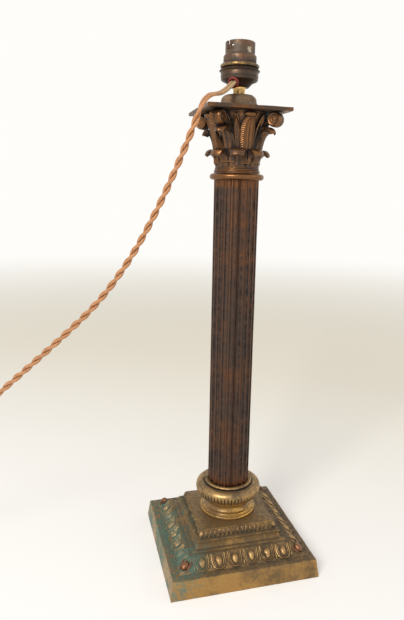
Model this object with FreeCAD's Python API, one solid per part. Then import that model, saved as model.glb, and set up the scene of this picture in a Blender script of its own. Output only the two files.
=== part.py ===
"""Column table lamp: a stepped square base, a round moulded foot, a fluted sheet shaft and a leafy
capital, held together by one tie rod, with a bayonet lampholder and a twisted two-core flex that
enters at the lampholder's side and ends in a three-pin plug.

Millimetres, +Z up. The origin is the centre of the base's underside and the front is -Y.
"""
import FreeCAD, Part
import math
import os

V = FreeCAD.Vector

# ---- driving dimensions -------------------------------------------------------------------------

# square base: half-widths of its mouldings, and their heights
slab_half = 72.0
slab_batter = 2.6
slab_height = 18.3
ledge = 7.4
egg_band_run = 12.0
egg_band_rise = 9.7
egg_band_bulge = 2.2
inner_ledge = 7.0
step_batter = 2.2
step_height = 8.4
leaf_band_inset = 2.8
leaf_band_run = 2.0
leaf_band_rise = 6.8
platform_lip = 0.8
base_wall = 3.4

# egg-and-dart and leaf carving
eggs_between_corners = 6
egg_r = 4.3
egg_long = 6.3
egg_short = 5.3
egg_sunk = 1.0
hollow_margin = 1.5
pocket_depth = 1.5
leaves_per_side = 17
leaf_cut_depth = 1.0

# round foot
foot_ring_r = 28.0
foot_ring_height = 3.2
foot_fillet_r = 25.8
foot_waist_r = 21.3
foot_top_r = 24.4
foot_height = 14.0

# gadrooned ring
gadroon_r = 32.4
gadroon_height = 16.6
gadroon_bead_r = 23.2
gadroon_count = 58
gadroon_depth = 1.5
seat_bead_height = 1.6
seat_depth = 1.4
spigot_height = 8.0

# fluted shaft, rolled from sheet with an open seam
shaft_r = 20.4
shaft_height = 295.7
shaft_sheet = 0.9
flute_count = 20
flute_width = 4.7
flute_depth = 1.5
seam_gap = 0.5
seam_from_front = 9.0

# neck ring
neck_bead_r = 24.6
neck_bead_height = 5.4
neck_fillet_r = 21.2
neck_fillet_height = 4.2

# capital
bell_foot_r = 18.8
bell_lip_r = 27.0
bell_height = 47.6
bell_wall = 3.6
leaf_turn = 5.0
lower_leaves = 8
lower_leaf_height = 15.6
lower_leaf_stand = 0.8
lower_leaf_reach = 10.6
lower_leaf_width = 15.0
corner_leaf_foot = 6.0
corner_leaf_height = 33.8
corner_leaf_stand = 1.8
corner_leaf_reach = 15.8
corner_leaf_width = 15.0
face_leaf_height = 42.0
face_leaf_width = 16.0
bud_half_width = 5.6
bud_r = 2.4
volute_r = 6.3
volute_out = 36.3
volute_half_width = 5.6
stem_width = 6.4
stalk_width = 3.0
stalk_lean = 11.0

# abacus and its cap
abacus_half = 37.1
abacus_thick = 3.0
abacus_round = 1.2
cap_flare_r = 19.6
cap_waist_r = 15.0
cap_top_r = 11.6
cap_height = 11.9

# tie rod and its fastenings
rod_r = 5.0
rod_bore_r = 3.6
rod_clearance = 0.25
thread_clearance = 0.05
washer_r = 17.0
washer_thick = 2.0
nut_across_flats = 17.0
nut_height = 6.0
rod_past_nut = 5.0
collar_r = 5.7
collar_height = 6.6

# lampholder
holder_wall = 1.2
holder_neck_r = 8.4
holder_cone_r = 11.7
holder_cap_r = 16.3
holder_neck_height = 0.4
holder_cone_height = 3.2
holder_shoulder_height = 2.6
holder_cap_height = 5.4
coupling_r = 17.7
coupling_height = 3.8
shade_ring_r = 17.1
shade_ring_height = 3.6
ring_gap = 0.3
thread_r = 14.4
thread_height = 14.3
barrel_r = 12.9
barrel_height = 10.9
socket_r = 11.2
socket_depth = 11.8
flange_r = 15.0
flange_thick = 1.2
slide_clearance = 0.08
core_flange_height = 3.0
slot_width = 2.8
slot_depth = 7.4
slot_hook = 20.0
slot_from_front = 68.6
core_r = 10.6
core_height = 9.6
plunger_r = 2.1
plunger_bore_clearance = 0.06
plunger_spacing = 10.4
plunger_out = 3.0
plunger_foot_r = 2.9
plunger_foot_thick = 1.0
plunger_length = 8.4
spring_wire = 0.35
terminal_screw_r = 1.6
terminal_screw_length = 4.6
terminal_head_r = 2.7
terminal_head_height = 1.6
screw_slot_width = 0.8
screw_slot_depth = 0.9

# flex and the grommet where it leaves the lampholder
flex_d = 6.0
flex_exit_angle = -126.0
flex_exit_drop = 30.0
flex_exit_up = 0.1
flex_straight = 12.0
grommet_wall = 0.9
grommet_lip = 0.9
grommet_length = 4.6
grommet_lip_thick = 1.6
grommet_clearance = 0.15
coil_pitch = 6.6
coil_mean_r = 31.5
coil_turns_per_layer = 2.75
coil_centre = (-435.5, 10.1)
coil_start_angle = 77.0
coil_turnover = 0.25

# three-pin plug, lying on its cover with the pins up
plug_centre = (-360.0, -40.0)
plug_turn = -90.0
plug_width = 49.0
plug_length = 50.0
plug_nose_width = 30.0
plug_corner_r = 7.0
plug_cover_height = 17.5
plug_cover_taper = 3.0
plug_base_height = 6.0
plug_wall = 2.2
pin_pitch = 22.2
earth_pin = (4.0, 8.0, 22.7)
power_pin = (6.35, 4.0, 17.7)
fuse_r = 3.2
fuse_length = 25.4
fuse_inward = 14.7
fuse_back = 9.0
plug_parting = 0.1
plug_post_r = 3.4
plug_screw_r = 1.5
plug_screw_head_r = 2.6
plug_screw_clearance = 0.1
pin_block_margin = 0.8
pin_block_depth = 6.0
grip_bar = (19.0, 5.0, 2.4)
grip_screw_out = 6.6
grip_back = 18.0

# ---- heights worked out from the pieces that carry each other ------------------------------------

half_slab_top = slab_half - slab_batter
half_egg_foot = half_slab_top - ledge
half_egg_top = half_egg_foot - egg_band_run
half_step_foot = half_egg_top - inner_ledge
half_step_top = half_step_foot - step_batter
half_leaf_foot = half_step_top - leaf_band_inset
half_platform = half_leaf_foot - leaf_band_run
z_egg_top = slab_height + egg_band_rise
z_step_top = z_egg_top + step_height
z_leaf_top = z_step_top + leaf_band_rise
z_platform = z_leaf_top + platform_lip
z_gadroon = z_platform + foot_height
z_gadroon_top = z_gadroon + gadroon_height
z_shaft = z_gadroon_top + seat_bead_height - seat_depth
z_neck = z_shaft + shaft_height
z_capital = z_neck + neck_bead_height + neck_fillet_height
z_abacus = z_capital + bell_height
z_cap = z_abacus + abacus_thick
z_collar = z_cap + cap_height
z_holder = z_collar + collar_height
z_holder_cone = z_holder + holder_neck_height
z_shoulder = z_holder_cone + holder_cone_height
z_cap_wall = z_shoulder + holder_shoulder_height
z_coupling = z_cap_wall + holder_cap_height
z_shade_ring = z_coupling + coupling_height + ring_gap
z_thread = z_coupling + flange_thick
z_barrel = z_coupling + thread_height
z_top = z_barrel + barrel_height
z_socket_floor = z_top - socket_depth
z_core_top = z_socket_floor - plunger_out
z_core = z_core_top - core_height
z_spring = z_core + holder_wall
rod_hole_r = rod_r + rod_clearance
thread_hole_r = rod_r + thread_clearance
shaft_inside_r = shaft_r - flute_depth - shaft_sheet
flex_r = flex_d / 2

# The flex's route over the abacus corner, down past the lamp's left side and along to its coil,
# chosen by hand. The last point before the coil is worked out below, on the coil's tangent.
flex_route = [
    (-24.6, -28.6, 441.6), (-35.2, -37.0, 440.8), (-42.8, -41.2, 432.0), (-46.4, -38.6, 418.0),
    (-53.2, -35.6, 399.5), (-64.2, -32.2, 372.6), (-79.5, -29.0, 339.0),
    (-98.5, -24.4, 303.5), (-125.0, -18.4, 265.5), (-157.5, -10.8, 233.0), (-193.0, -2.6, 200.0),
    (-228.5, 5.6, 167.5), (-262.0, 13.4, 134.0), (-294.5, 20.9, 100.0), (-326.0, 28.1, 67.0),
    (-354.5, 34.8, 38.5), (-379.5, 40.4, 17.2), (-398.0, 44.1, 5.4),
]
tail_route = [(-416.0, -38.6, 8.2), (-404.0, -41.0, 7.4), (-393.0, -40.0, 9.2)]


# ---- helpers -------------------------------------------------------------------------------------

def outline(start, *steps):
    """Closed face in the XZ plane from (radius, height) points.

    A step is an end point for a straight edge, or a pair (through, end) for an arc."""
    def place(point):
        return V(point[0], 0, point[1])
    edges = []
    here = start
    for step in steps:
        if isinstance(step[0], tuple):
            through, end = step
            edges.append(Part.Arc(place(here), place(through), place(end)).toShape())
        else:
            end = step
            edges.append(Part.LineSegment(place(here), place(end)).toShape())
        here = end
    if here != start:
        edges.append(Part.LineSegment(place(here), place(start)).toShape())
    return Part.Face(Part.Wire(edges))


def turned(face):
    """The solid that a face in the XZ plane sweeps around the Z axis."""
    return face.revolve(V(0, 0, 0), V(0, 0, 1), 360)


def turn(shape, degrees, centre=V(0, 0, 0)):
    """A copy of shape turned about a vertical axis."""
    copy = shape.copy()
    copy.rotate(centre, V(0, 0, 1), degrees)
    return copy


def around(shape, count, first=0.0):
    """count copies of shape, evenly spaced about the Z axis."""
    return [turn(shape, first + 360.0 * k / count) for k in range(count)]


def joined(shapes):
    """All the shapes as one solid, without the seams between faces that line up."""
    return shapes[0].fuse(shapes[1:]).removeSplitter()


def cylinder(r, z0, z1, x=0.0, y=0.0):
    return Part.makeCylinder(r, z1 - z0, V(x, y, z0))


def mitred(face):
    """A square moulding: the face's profile along four sides, with mitred corners."""
    reach = 2 * slab_half
    side = turn(face, -90)
    side.translate(V(-reach, 0, 0))
    bar = side.extrude(V(2 * reach, 0, 0))
    corners = [V(0, 0, -reach), V(-reach, -reach, -reach), V(reach, -reach, -reach)]
    wedge = Part.Face(Part.makePolygon(corners + corners[:1])).extrude(V(0, 0, 3 * reach))
    quarter = bar.common(wedge)
    return joined(around(quarter, 4))


def polygon_prism(points, z0, z1):
    """Upright prism over a plan polygon."""
    ring = [V(x, y, z0) for x, y in points]
    return Part.Face(Part.makePolygon(ring + ring[:1])).extrude(V(0, 0, z1 - z0))


# ---- base and foot -------------------------------------------------------------------------------

def egg(r, long, short):
    """Egg shape about the Z axis: its long end points up."""
    face = outline((0, -short), (0.25 * r, -short), ((0.8 * r, -0.66 * short), (r, 0)),
                   ((0.78 * r, 0.66 * long), (0.25 * r, long)), (0, long))
    return turned(face)


def pocket():
    """Tool for the U-shaped hollow round an egg: flat floor, round outer end, open towards the top."""
    half = egg_r + hollow_margin
    reach = egg_band_run + egg_band_rise
    face = outline((-half, 0), ((0, -half), (half, 0)), (half, reach), (-half, reach), (-half, 0))
    face.rotate(V(0, 0, 0), V(0, 0, 1), 90)
    return face.extrude(V(reach, 0, 0))


def on_band(shape, run, sideways, turn_by):
    """Lay a shape on the egg band's slope, its +X outwards and its +Z up the slope.

    run is the slope's horizontal run in the shape's own plane: longer at a corner."""
    slope = math.hypot(run, egg_band_rise)
    lift = egg_band_bulge - pocket_depth
    middle = (half_egg_foot + half_egg_top) / 2 * run / egg_band_run
    out = shape.copy()
    out.rotate(V(0, 0, 0), V(0, 1, 0), -math.degrees(math.atan2(run, egg_band_rise)))
    out.translate(V(middle + lift * egg_band_rise / slope, 0,
                    slab_height + egg_band_rise / 2 + lift * run / slope))
    out.rotate(V(0, 0, 0), V(0, 0, 1), -90 + turn_by)
    along = math.radians(turn_by)
    out.translate(V(sideways * math.cos(along), sideways * math.sin(along), 0))
    return out


def egg_places():
    """(slope run, sideways place, turn) of every egg: one on each corner and some between."""
    span = half_egg_foot + half_egg_top
    step = span / (eggs_between_corners + 1)
    places = []
    for side in range(4):
        places.append((egg_band_run * math.sqrt(2), 0.0, 90 * side + 45))
        for k in range(1, eggs_between_corners + 1):
            places.append((egg_band_run, -span / 2 + k * step, 90 * side))
    return places


def leaf_cuts():
    """The V cuts between the small leaves of the upper band, on all four sides."""
    step = 2 * half_leaf_foot / leaves_per_side
    mouth = 0.42 * step
    cuts = []
    for k in range(leaves_per_side + 1):
        x = -half_leaf_foot + k * step
        foot = -half_leaf_foot
        points = [V(x, foot + leaf_cut_depth, 0), V(x - mouth, foot - leaf_cut_depth, 0),
                  V(x + mouth, foot - leaf_cut_depth, 0)]
        cut = Part.Face(Part.makePolygon(points + points[:1]))
        cut.translate(V(0, 0, z_step_top + platform_lip))
        cuts.append(cut.extrude(V(0, leaf_band_run, leaf_band_rise)))
    return [turn(cut, 90 * side) for side in range(4) for cut in cuts]


def plinth():
    """Square cast base, hollow underneath, with its carved egg-and-dart and leaf bands."""
    band_middle = ((half_egg_foot + half_egg_top) / 2, slab_height + egg_band_rise / 2)
    slope = math.hypot(egg_band_run, egg_band_rise)
    bulged = (band_middle[0] + egg_band_bulge * egg_band_rise / slope,
              band_middle[1] + egg_band_bulge * egg_band_run / slope)
    body = mitred(outline(
        (0, 0), (slab_half, 0), (half_slab_top, slab_height), (half_egg_foot, slab_height),
        (bulged, (half_egg_top, z_egg_top)), (half_step_foot, z_egg_top),
        ((half_step_top + 0.25 * step_batter, z_egg_top + 0.5 * step_height),
         (half_step_top, z_step_top)),
        (half_leaf_foot, z_step_top), (half_platform, z_leaf_top), (half_platform, z_platform),
        (0, z_platform)))
    hollow = mitred(outline(
        (0, -1), (slab_half - 1.3 * base_wall, -1),
        (half_slab_top - 1.3 * base_wall, slab_height - base_wall),
        (half_egg_top - 0.4 * base_wall, slab_height - base_wall),
        (half_step_foot - base_wall, z_egg_top - base_wall),
        (half_platform - base_wall, z_platform - base_wall), (0, z_platform - base_wall)))
    body = body.cut(hollow).cut(cylinder(rod_hole_r, 0, 2 * z_platform))
    carved = egg(egg_r, egg_long, egg_short)
    carved.translate(V(-egg_sunk, 0, 0))
    hollows = [on_band(pocket(), *place) for place in egg_places()]
    eggs = [on_band(carved, *place) for place in egg_places()]
    return joined([body.cut(hollows + leaf_cuts())] + eggs)


def base_scotia():
    """Turned foot: a ring, a fillet and a deep concave waist."""
    z1 = z_platform + foot_ring_height
    z2 = z1 + 1.5
    top = z_gadroon
    return turned(outline(
        (rod_hole_r, z_platform), (foot_ring_r - 0.8, z_platform),
        ((foot_ring_r, z_platform + 0.5 * foot_ring_height), (foot_ring_r - 0.8, z1)),
        (foot_fillet_r, z1), (foot_fillet_r, z2),
        ((foot_waist_r, 0.5 * (z2 + top) + 1.0), (foot_top_r, top - 0.8)),
        (foot_top_r, top), (rod_hole_r, top)))


def gadroon_ring():
    """Cast ring with a row of small lobes on its swell, a seat and a spigot for the shaft."""
    z0 = z_gadroon
    widest = z0 + 0.6 * gadroon_height
    seat_r = shaft_r + rod_clearance
    spigot_r = shaft_inside_r - rod_clearance
    ring = turned(outline(
        (rod_hole_r, z0), (foot_top_r, z0),
        ((gadroon_r - 2.6, z0 + 0.2 * gadroon_height), (gadroon_r, widest)),
        ((gadroon_r - 1.7, widest + 0.26 * gadroon_height), (gadroon_bead_r + 1.2, z_gadroon_top - 0.8)),
        (gadroon_bead_r, z_gadroon_top - 0.8),
        ((gadroon_bead_r + 0.2, z_gadroon_top + 0.6), (seat_r + 0.5, z_gadroon_top + seat_bead_height)),
        (seat_r, z_gadroon_top + seat_bead_height), (seat_r, z_shaft),
        (spigot_r, z_shaft), (spigot_r, z_shaft + spigot_height), (rod_hole_r, z_shaft + spigot_height)))
    mouth = math.radians(360.0 / gadroon_count) * gadroon_r * 0.4
    groove = polygon_prism(
        [(gadroon_r - gadroon_depth, 0), (gadroon_r + 1.6, -mouth), (gadroon_r + 1.6, mouth)],
        z0, z0 + 0.72 * gadroon_height)
    return ring.cut(around(groove, gadroon_count))


# ---- shaft and neck ------------------------------------------------------------------------------

def fluted_ring(r, floor_r, half_angle):
    """Plan outline of the fluted sheet: hollows of a given floor radius between narrow ridges."""
    pitch = 2 * math.pi / flute_count
    def at(radius, angle):
        return V(radius * math.cos(angle), radius * math.sin(angle), z_shaft)
    edges = []
    for k in range(flute_count):
        middle = k * pitch
        left = middle - half_angle
        right = middle + half_angle
        after = middle + pitch - half_angle
        edges.append(Part.Arc(at(r, left), at(floor_r, middle), at(r, right)).toShape())
        edges.append(Part.Arc(at(r, right), at(r, (right + after) / 2), at(r, after)).toShape())
    return Part.Face(Part.Wire(edges))


def shaft():
    """Fluted tube of thin sheet, left open along its seam."""
    half_angle = math.asin(flute_width / 2 / shaft_r)
    inner_half_angle = half_angle + 0.4 * shaft_sheet / shaft_r
    outer = fluted_ring(shaft_r, shaft_r - flute_depth, half_angle)
    inner = fluted_ring(shaft_r - shaft_sheet, shaft_inside_r, inner_half_angle)
    tube = outer.cut(inner).extrude(V(0, 0, shaft_height))
    slit = Part.makeBox(shaft_r, seam_gap, shaft_height + 2, V(shaft_r / 2, -seam_gap / 2, z_shaft - 1))
    return tube.cut(turn(slit, -90 - seam_from_front))


def neck_ring():
    """Turned ring on top of the shaft: a spigot below, a bead and two fillets."""
    bead_top = z_neck + neck_bead_height
    spigot_r = shaft_inside_r - rod_clearance
    return turned(outline(
        (rod_hole_r, z_neck - spigot_height), (spigot_r, z_neck - spigot_height), (spigot_r, z_neck),
        (neck_fillet_r, z_neck),
        ((neck_bead_r, z_neck + 0.5 * neck_bead_height), (neck_fillet_r, bead_top)),
        (neck_fillet_r, bead_top + 0.55 * neck_fillet_height),
        (neck_fillet_r - 1.2, bead_top + 0.55 * neck_fillet_height),
        (neck_fillet_r - 1.2, z_capital), (rod_hole_r, z_capital)))


# ---- capital -------------------------------------------------------------------------------------

def leaf(side, front, half_width):
    """A leaf from its side profile and its front outline, growing outwards along +X."""
    blade = side.copy()
    blade.translate(V(0, -half_width, 0))
    blade = blade.extrude(V(0, 2 * half_width, 0))
    shape = turn(front, 90)
    return blade.common(shape.extrude(V(2 * abacus_half, 0, 0)))


def curling_leaf(z0, height, stand, reach, width):
    """Leaf that hugs the bell, then curls out and down at its thick tip; height and reach to the curl."""
    r = bell_foot_r
    top = z0 + height
    side = outline(
        (r - 0.5 * bell_wall, z0), (r + stand, z0),
        ((r + stand + 0.1 * reach, z0 + 0.5 * height), (r + 0.5 * reach, top - 3.7)),
        ((r + 0.8 * reach, top - 3.4), (r + reach, top - 5.0)),
        ((r + 0.88 * reach, top - 1.3), (r + 0.6 * reach, top)),
        ((r + 0.16 * reach, z0 + 0.76 * height), (r - 0.5 * bell_wall, z0 + 0.4 * height)))
    half = width / 2
    front = outline(
        (-0.72 * half, z0), (0.72 * half, z0),
        ((half, z0 + 0.55 * height), (0.62 * half, z0 + 0.84 * height)),
        ((0, top + 0.22 * height), (-0.62 * half, z0 + 0.84 * height)),
        ((-half, z0 + 0.55 * height), (-0.72 * half, z0)))
    return leaf(side, front, half)


def face_leaf():
    """Tall leaf at the middle of a face, ending in a bud under the abacus."""
    r = bell_foot_r
    z0 = z_capital + 1.0
    top = z_capital + face_leaf_height
    side = outline(
        (r - 0.5 * bell_wall, z0), (r + 2.2, z0),
        ((r + 3.6, z0 + 0.6 * face_leaf_height), (bell_lip_r + 0.6, top)),
        (bell_lip_r - 1.0, top), (r - 0.5 * bell_wall, top - 6))
    half = face_leaf_width / 2
    front = outline(
        (-0.5 * half, z0), (0.5 * half, z0), ((half, z0 + 0.62 * face_leaf_height), (0.5 * half, top)),
        (-0.5 * half, top), ((-half, z0 + 0.62 * face_leaf_height), (-0.5 * half, z0)))
    bud = turned(outline(
        (0, -bud_half_width), (0.4 * bud_r, -bud_half_width),
        ((bud_r, 0), (0.4 * bud_r, bud_half_width)), (0, bud_half_width)))
    bud.rotate(V(0, 0, 0), V(1, 0, 0), 90)
    bud.translate(V(bell_lip_r + 1.2, 0, z_abacus - bud_r - 0.4))
    return [leaf(side, front, half), bud]


def corner_scroll():
    """Stem that rises from the bell and rolls into a round scroll under a corner of the abacus."""
    zc = z_abacus - volute_r - 0.1
    r = bell_foot_r
    stem = outline(
        (r - 0.3 * bell_wall, z_capital + 0.50 * bell_height), (r + 3.0, z_capital + 0.46 * bell_height),
        ((r + 7.6, z_capital + 0.70 * bell_height), (volute_out - 4.2, zc - 0.3 * volute_r)),
        (volute_out, zc + 0.86 * volute_r),
        ((r + 8.6, zc + 0.2 * volute_r), (r - 0.3 * bell_wall, z_capital + 0.62 * bell_height)))
    stem.translate(V(0, -stem_width / 2, 0))
    stem = stem.extrude(V(0, stem_width, 0))
    eye_r = 0.42 * volute_r
    rim = volute_half_width - 0.6
    disc = turned(outline(
        (0, -volute_half_width), (0.5 * eye_r, -volute_half_width), (eye_r, -rim),
        (0.8 * volute_r, -rim), ((volute_r, 0), (0.8 * volute_r, rim)),
        (eye_r, rim), (0.5 * eye_r, volute_half_width), (0, volute_half_width)))
    disc.rotate(V(0, 0, 0), V(1, 0, 0), 90)
    disc.translate(V(volute_out, 0, zc))
    return [stem, disc]


def stalk(side):
    """Slender pointed stalk beside a face leaf, leaning out towards the corner scroll."""
    r = bell_foot_r
    z0 = z_capital + 0.34 * bell_height
    top = z_abacus - 1.6
    half = stalk_width / 2
    profile = outline(
        (r - 0.3 * bell_wall, z0), (r + 2.8, z0),
        ((r + 3.8, 0.5 * (z0 + top)), (bell_lip_r + 1.6, top)), (bell_lip_r - 1.6, top))
    front = outline((-0.5 * half, z0), (0.5 * half, z0), ((half, 0.6 * z0 + 0.4 * top), (0.2, top)),
                    (-0.2, top), ((-half, 0.6 * z0 + 0.4 * top), (-0.5 * half, z0)))
    blade = leaf(profile, front, half)
    blade.rotate(V(0, 0, z0), V(1, 0, 0), -side * stalk_lean)
    return turn(blade, side * 20.0)


def capital():
    """Cast capital: a hollow bell, two rows of curling leaves, face leaves, stalks and scrolls."""
    r = bell_foot_r
    z0 = z_capital
    bell = turned(outline(
        (r - bell_wall, z0), (r + 0.8, z0), (r + 0.8, z0 + 1.2), (r, z0 + 1.8),
        ((r + 2.0, z0 + 0.62 * bell_height), (bell_lip_r, z0 + 0.93 * bell_height)),
        (bell_lip_r, z_abacus), (r - bell_wall, z_abacus)))
    low = curling_leaf(z0, lower_leaf_height, lower_leaf_stand, lower_leaf_reach, lower_leaf_width)
    corner = curling_leaf(z0 + corner_leaf_foot, corner_leaf_height - corner_leaf_foot,
                          corner_leaf_stand, corner_leaf_reach, corner_leaf_width)
    pieces = [bell]
    pieces += around(low, lower_leaves, 180.0 / lower_leaves + leaf_turn)
    pieces += around(corner, 4, 45)
    for part_of_face in face_leaf() + [stalk(1), stalk(-1)]:
        pieces += around(part_of_face, 4, leaf_turn)
    for part_of_scroll in corner_scroll():
        pieces += around(part_of_scroll, 4, 45)
    return joined(pieces)


def abacus():
    """Thin square plate with a rounded rim."""
    corner = V(-abacus_half, -abacus_half, z_abacus)
    plate = Part.makeBox(2 * abacus_half, 2 * abacus_half, abacus_thick, corner)
    upright = [edge for edge in plate.Edges if edge.Vertexes[0].Point.z != edge.Vertexes[1].Point.z]
    plate = plate.makeFillet(2 * abacus_round, upright)
    level = [edge for edge in plate.Edges if edge.BoundBox.ZLength < 1e-6]
    plate = plate.makeFillet(abacus_round, level)
    return plate.cut(cylinder(rod_hole_r, z_abacus - 1, z_cap + 1))


def abacus_cap():
    """Turned cap on the abacus, a flared foot and a shallow dome."""
    z1 = z_cap + 0.08 * cap_height
    z2 = z_cap + 0.42 * cap_height
    return turned(outline(
        (rod_hole_r, z_cap), (cap_flare_r, z_cap), (cap_flare_r, z1),
        ((cap_waist_r + 1.5, z1 + 1.1), (cap_waist_r, z2)),
        ((cap_waist_r - 0.6, z2 + 0.34 * cap_height), (cap_top_r, z_collar)), (rod_hole_r, z_collar)))


# ---- tie rod and its fastenings ------------------------------------------------------------------

def tie_rod():
    """Hollow threaded rod that clamps the whole column."""
    z0 = z_platform - base_wall - washer_thick - nut_height - rod_past_nut
    z1 = z_shoulder
    return cylinder(rod_r, z0, z1).cut(cylinder(rod_bore_r, z0 - 1, z1 + 1))


def base_washer():
    z1 = z_platform - base_wall
    z0 = z1 - washer_thick
    return cylinder(washer_r, z0, z1).cut(cylinder(rod_hole_r, z0 - 1, z1 + 1))


def base_nut():
    z1 = z_platform - base_wall - washer_thick
    z0 = z1 - nut_height
    corner = nut_across_flats / 2 / math.cos(math.pi / 6)
    points = [(corner * math.cos(k * math.pi / 3), corner * math.sin(k * math.pi / 3)) for k in range(6)]
    return polygon_prism(points, z0, z1).cut(cylinder(thread_hole_r, z0 - 1, z1 + 1))


def rod_collar():
    """Brass collar between the cap and the lampholder."""
    return cylinder(collar_r, z_collar, z_holder).cut(cylinder(thread_hole_r, z_collar - 1, z_holder + 1))


# ---- lampholder ----------------------------------------------------------------------------------

def exit_axis():
    """Centre and outward direction of the flex hole in the lampholder's shoulder."""
    angle = math.radians(flex_exit_angle)
    drop = math.radians(flex_exit_drop)
    r = holder_cone_r + flex_exit_up * (holder_cap_r - holder_cone_r)
    z = z_shoulder + flex_exit_up * holder_shoulder_height
    centre = V(r * math.cos(angle), r * math.sin(angle), z)
    out = V(math.cos(angle) * math.cos(drop), math.sin(angle) * math.cos(drop), -math.sin(drop))
    return centre, out


def rod_along(r, centre, out, back, front):
    """Round bar about an axis, from back behind its centre to front ahead of it."""
    start = centre - out * back
    return Part.makeCylinder(r, back + front, start, out)


def holder_cap():
    """Spun cap of the lampholder: a threaded neck, a cone, a shoulder and a short wall."""
    w = holder_wall
    shell = turned(outline(
        (thread_hole_r, z_holder), (holder_neck_r, z_holder), (holder_neck_r, z_holder_cone),
        (holder_cone_r, z_shoulder), (holder_cap_r, z_cap_wall), (holder_cap_r, z_coupling),
        (holder_cap_r - w, z_coupling), (holder_cap_r - w, z_cap_wall + 0.5 * w),
        (holder_cone_r - 0.6 * w, z_shoulder + w), (rod_r + 2 * w, z_shoulder + w),
        (rod_r + 2 * w, z_shoulder + 2 * w), (thread_hole_r, z_shoulder + 2 * w)))
    centre, out = exit_axis()
    return shell.cut(rod_along(flex_r + grommet_wall, centre, out, 4.0, 6.0))


def cord_grommet():
    """Bush with a lip on the outside, lining the flex hole."""
    centre, out = exit_axis()
    outer_r = flex_r + grommet_wall
    barrel = rod_along(outer_r - slide_clearance, centre, out, grommet_length / 2, grommet_length / 2 + 1)
    front = centre + out * (grommet_length / 2 + 1)
    lip = Part.makeCylinder(outer_r + grommet_lip, grommet_lip_thick, front, out)
    lip = lip.makeFillet(0.6, [edge for edge in lip.Edges if len(edge.Vertexes) == 1])
    bush = barrel.fuse(lip).cut(rod_along(flex_r + grommet_clearance, centre, out, 8.0, 12.0))
    return bush.removeSplitter()


def round_edged_ring(inner_r, outer_r, z0, z1):
    """Ring with a half-round rim."""
    return turned(outline(
        (inner_r, z0), (outer_r - 1.0, z0), ((outer_r, (z0 + z1) / 2), (outer_r - 1.0, z1)), (inner_r, z1)))


def coupling_ring():
    """Ring that holds the barrel's flange down on the cap."""
    seat_r = flange_r + rod_clearance
    z_lip = z_coupling + flange_thick + rod_clearance
    ring = round_edged_ring(thread_r + rod_clearance, coupling_r, z_coupling, z_coupling + coupling_height)
    return ring.cut(cylinder(seat_r, z_coupling - 1, z_lip))


def shade_ring():
    """Threaded ring that clamps a shade carrier against the coupling ring."""
    z1 = z_shade_ring + shade_ring_height
    return round_edged_ring(thread_r + slide_clearance, shade_ring_r, z_shade_ring, z1)


def holder_barrel():
    """Threaded skirt with a flange, and the bayonet socket above it with its two hooked slots."""
    shoulder = thread_r - barrel_r
    skirt_r = thread_r - holder_wall
    body = turned(outline(
        (skirt_r, z_coupling), (flange_r, z_coupling), (flange_r, z_thread), (thread_r, z_thread),
        (thread_r, z_barrel - 0.4 * shoulder), (barrel_r, z_barrel + 0.6 * shoulder),
        (barrel_r, z_top - 0.4), (barrel_r - 0.4, z_top), (socket_r, z_top), (socket_r, z_socket_floor),
        (skirt_r, z_socket_floor - 2.0)))
    depth = barrel_r - socket_r + 3.0
    down = Part.makeBox(depth, slot_width, slot_depth + 1,
                        V(socket_r - 1.0, -slot_width / 2, z_top - slot_depth))
    hook_face = outline(
        (socket_r - 1.0, z_top - slot_depth), (socket_r - 1.0 + depth, z_top - slot_depth),
        (socket_r - 1.0 + depth, z_top - slot_depth + slot_width),
        (socket_r - 1.0, z_top - slot_depth + slot_width))
    hook = hook_face.revolve(V(0, 0, 0), V(0, 0, 1), slot_hook)
    catch = Part.makeBox(depth, slot_width, slot_width + 1.2,
                         V(socket_r - 1.0, -slot_width / 2, z_top - slot_depth))
    slot = joined([down, hook, turn(catch, slot_hook)])
    return body.cut(around(slot, 2, -90 - slot_from_front))


def plunger_places():
    angle = math.radians(-slot_from_front)
    half = plunger_spacing / 2
    return [(s * half * math.cos(angle), s * half * math.sin(angle)) for s in (-1, 1)]


def holder_core():
    """Insulating core that carries the two spring contacts."""
    core = cylinder(core_r, z_core, z_core_top)
    core = core.fuse(cylinder(thread_r - holder_wall - rod_clearance, z_core, z_core + core_flange_height))
    bore_r = plunger_r + plunger_bore_clearance
    well_r = plunger_foot_r + plunger_bore_clearance
    z_well_top = z_core_top + plunger_out - plunger_length + plunger_foot_thick
    for x, y in plunger_places():
        core = core.cut(cylinder(bore_r, z_core + holder_wall, z_core_top + 1, x, y))
        core = core.cut(cylinder(well_r, z_core + holder_wall, z_well_top + slide_clearance, x, y))
    for x, y in terminal_places():
        core = core.cut(cylinder(terminal_screw_r, z_core - 1, z_core + terminal_screw_length, x, y))
    return core.removeSplitter()


def terminal_places():
    angle = math.radians(-90 - slot_from_front)
    reach = 0.62 * core_r
    return [(s * reach * math.cos(angle), s * reach * math.sin(angle)) for s in (-1, 1)]


def plunger(place):
    """Spring contact: a round-ended pin with a foot that keeps it in the core."""
    top = z_core_top + plunger_out
    foot = top - plunger_length
    pin = turned(outline(
        (0, foot), (plunger_foot_r, foot), (plunger_foot_r, foot + plunger_foot_thick),
        (plunger_r, foot + plunger_foot_thick), (plunger_r, top - 0.9),
        ((0.8 * plunger_r, top - 0.25), (0.4 * plunger_r, top)), (0, top)))
    pin.translate(V(place[0], place[1], 0))
    return pin


def plunger_spring(place):
    """Room taken by the coiled spring under a contact."""
    z1 = z_core_top + plunger_out - plunger_length
    outer = cylinder(plunger_foot_r - spring_wire, z_spring, z1, *place)
    return outer.cut(cylinder(plunger_foot_r - 3 * spring_wire, z_spring - 1, z1 + 1, *place))


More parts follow.
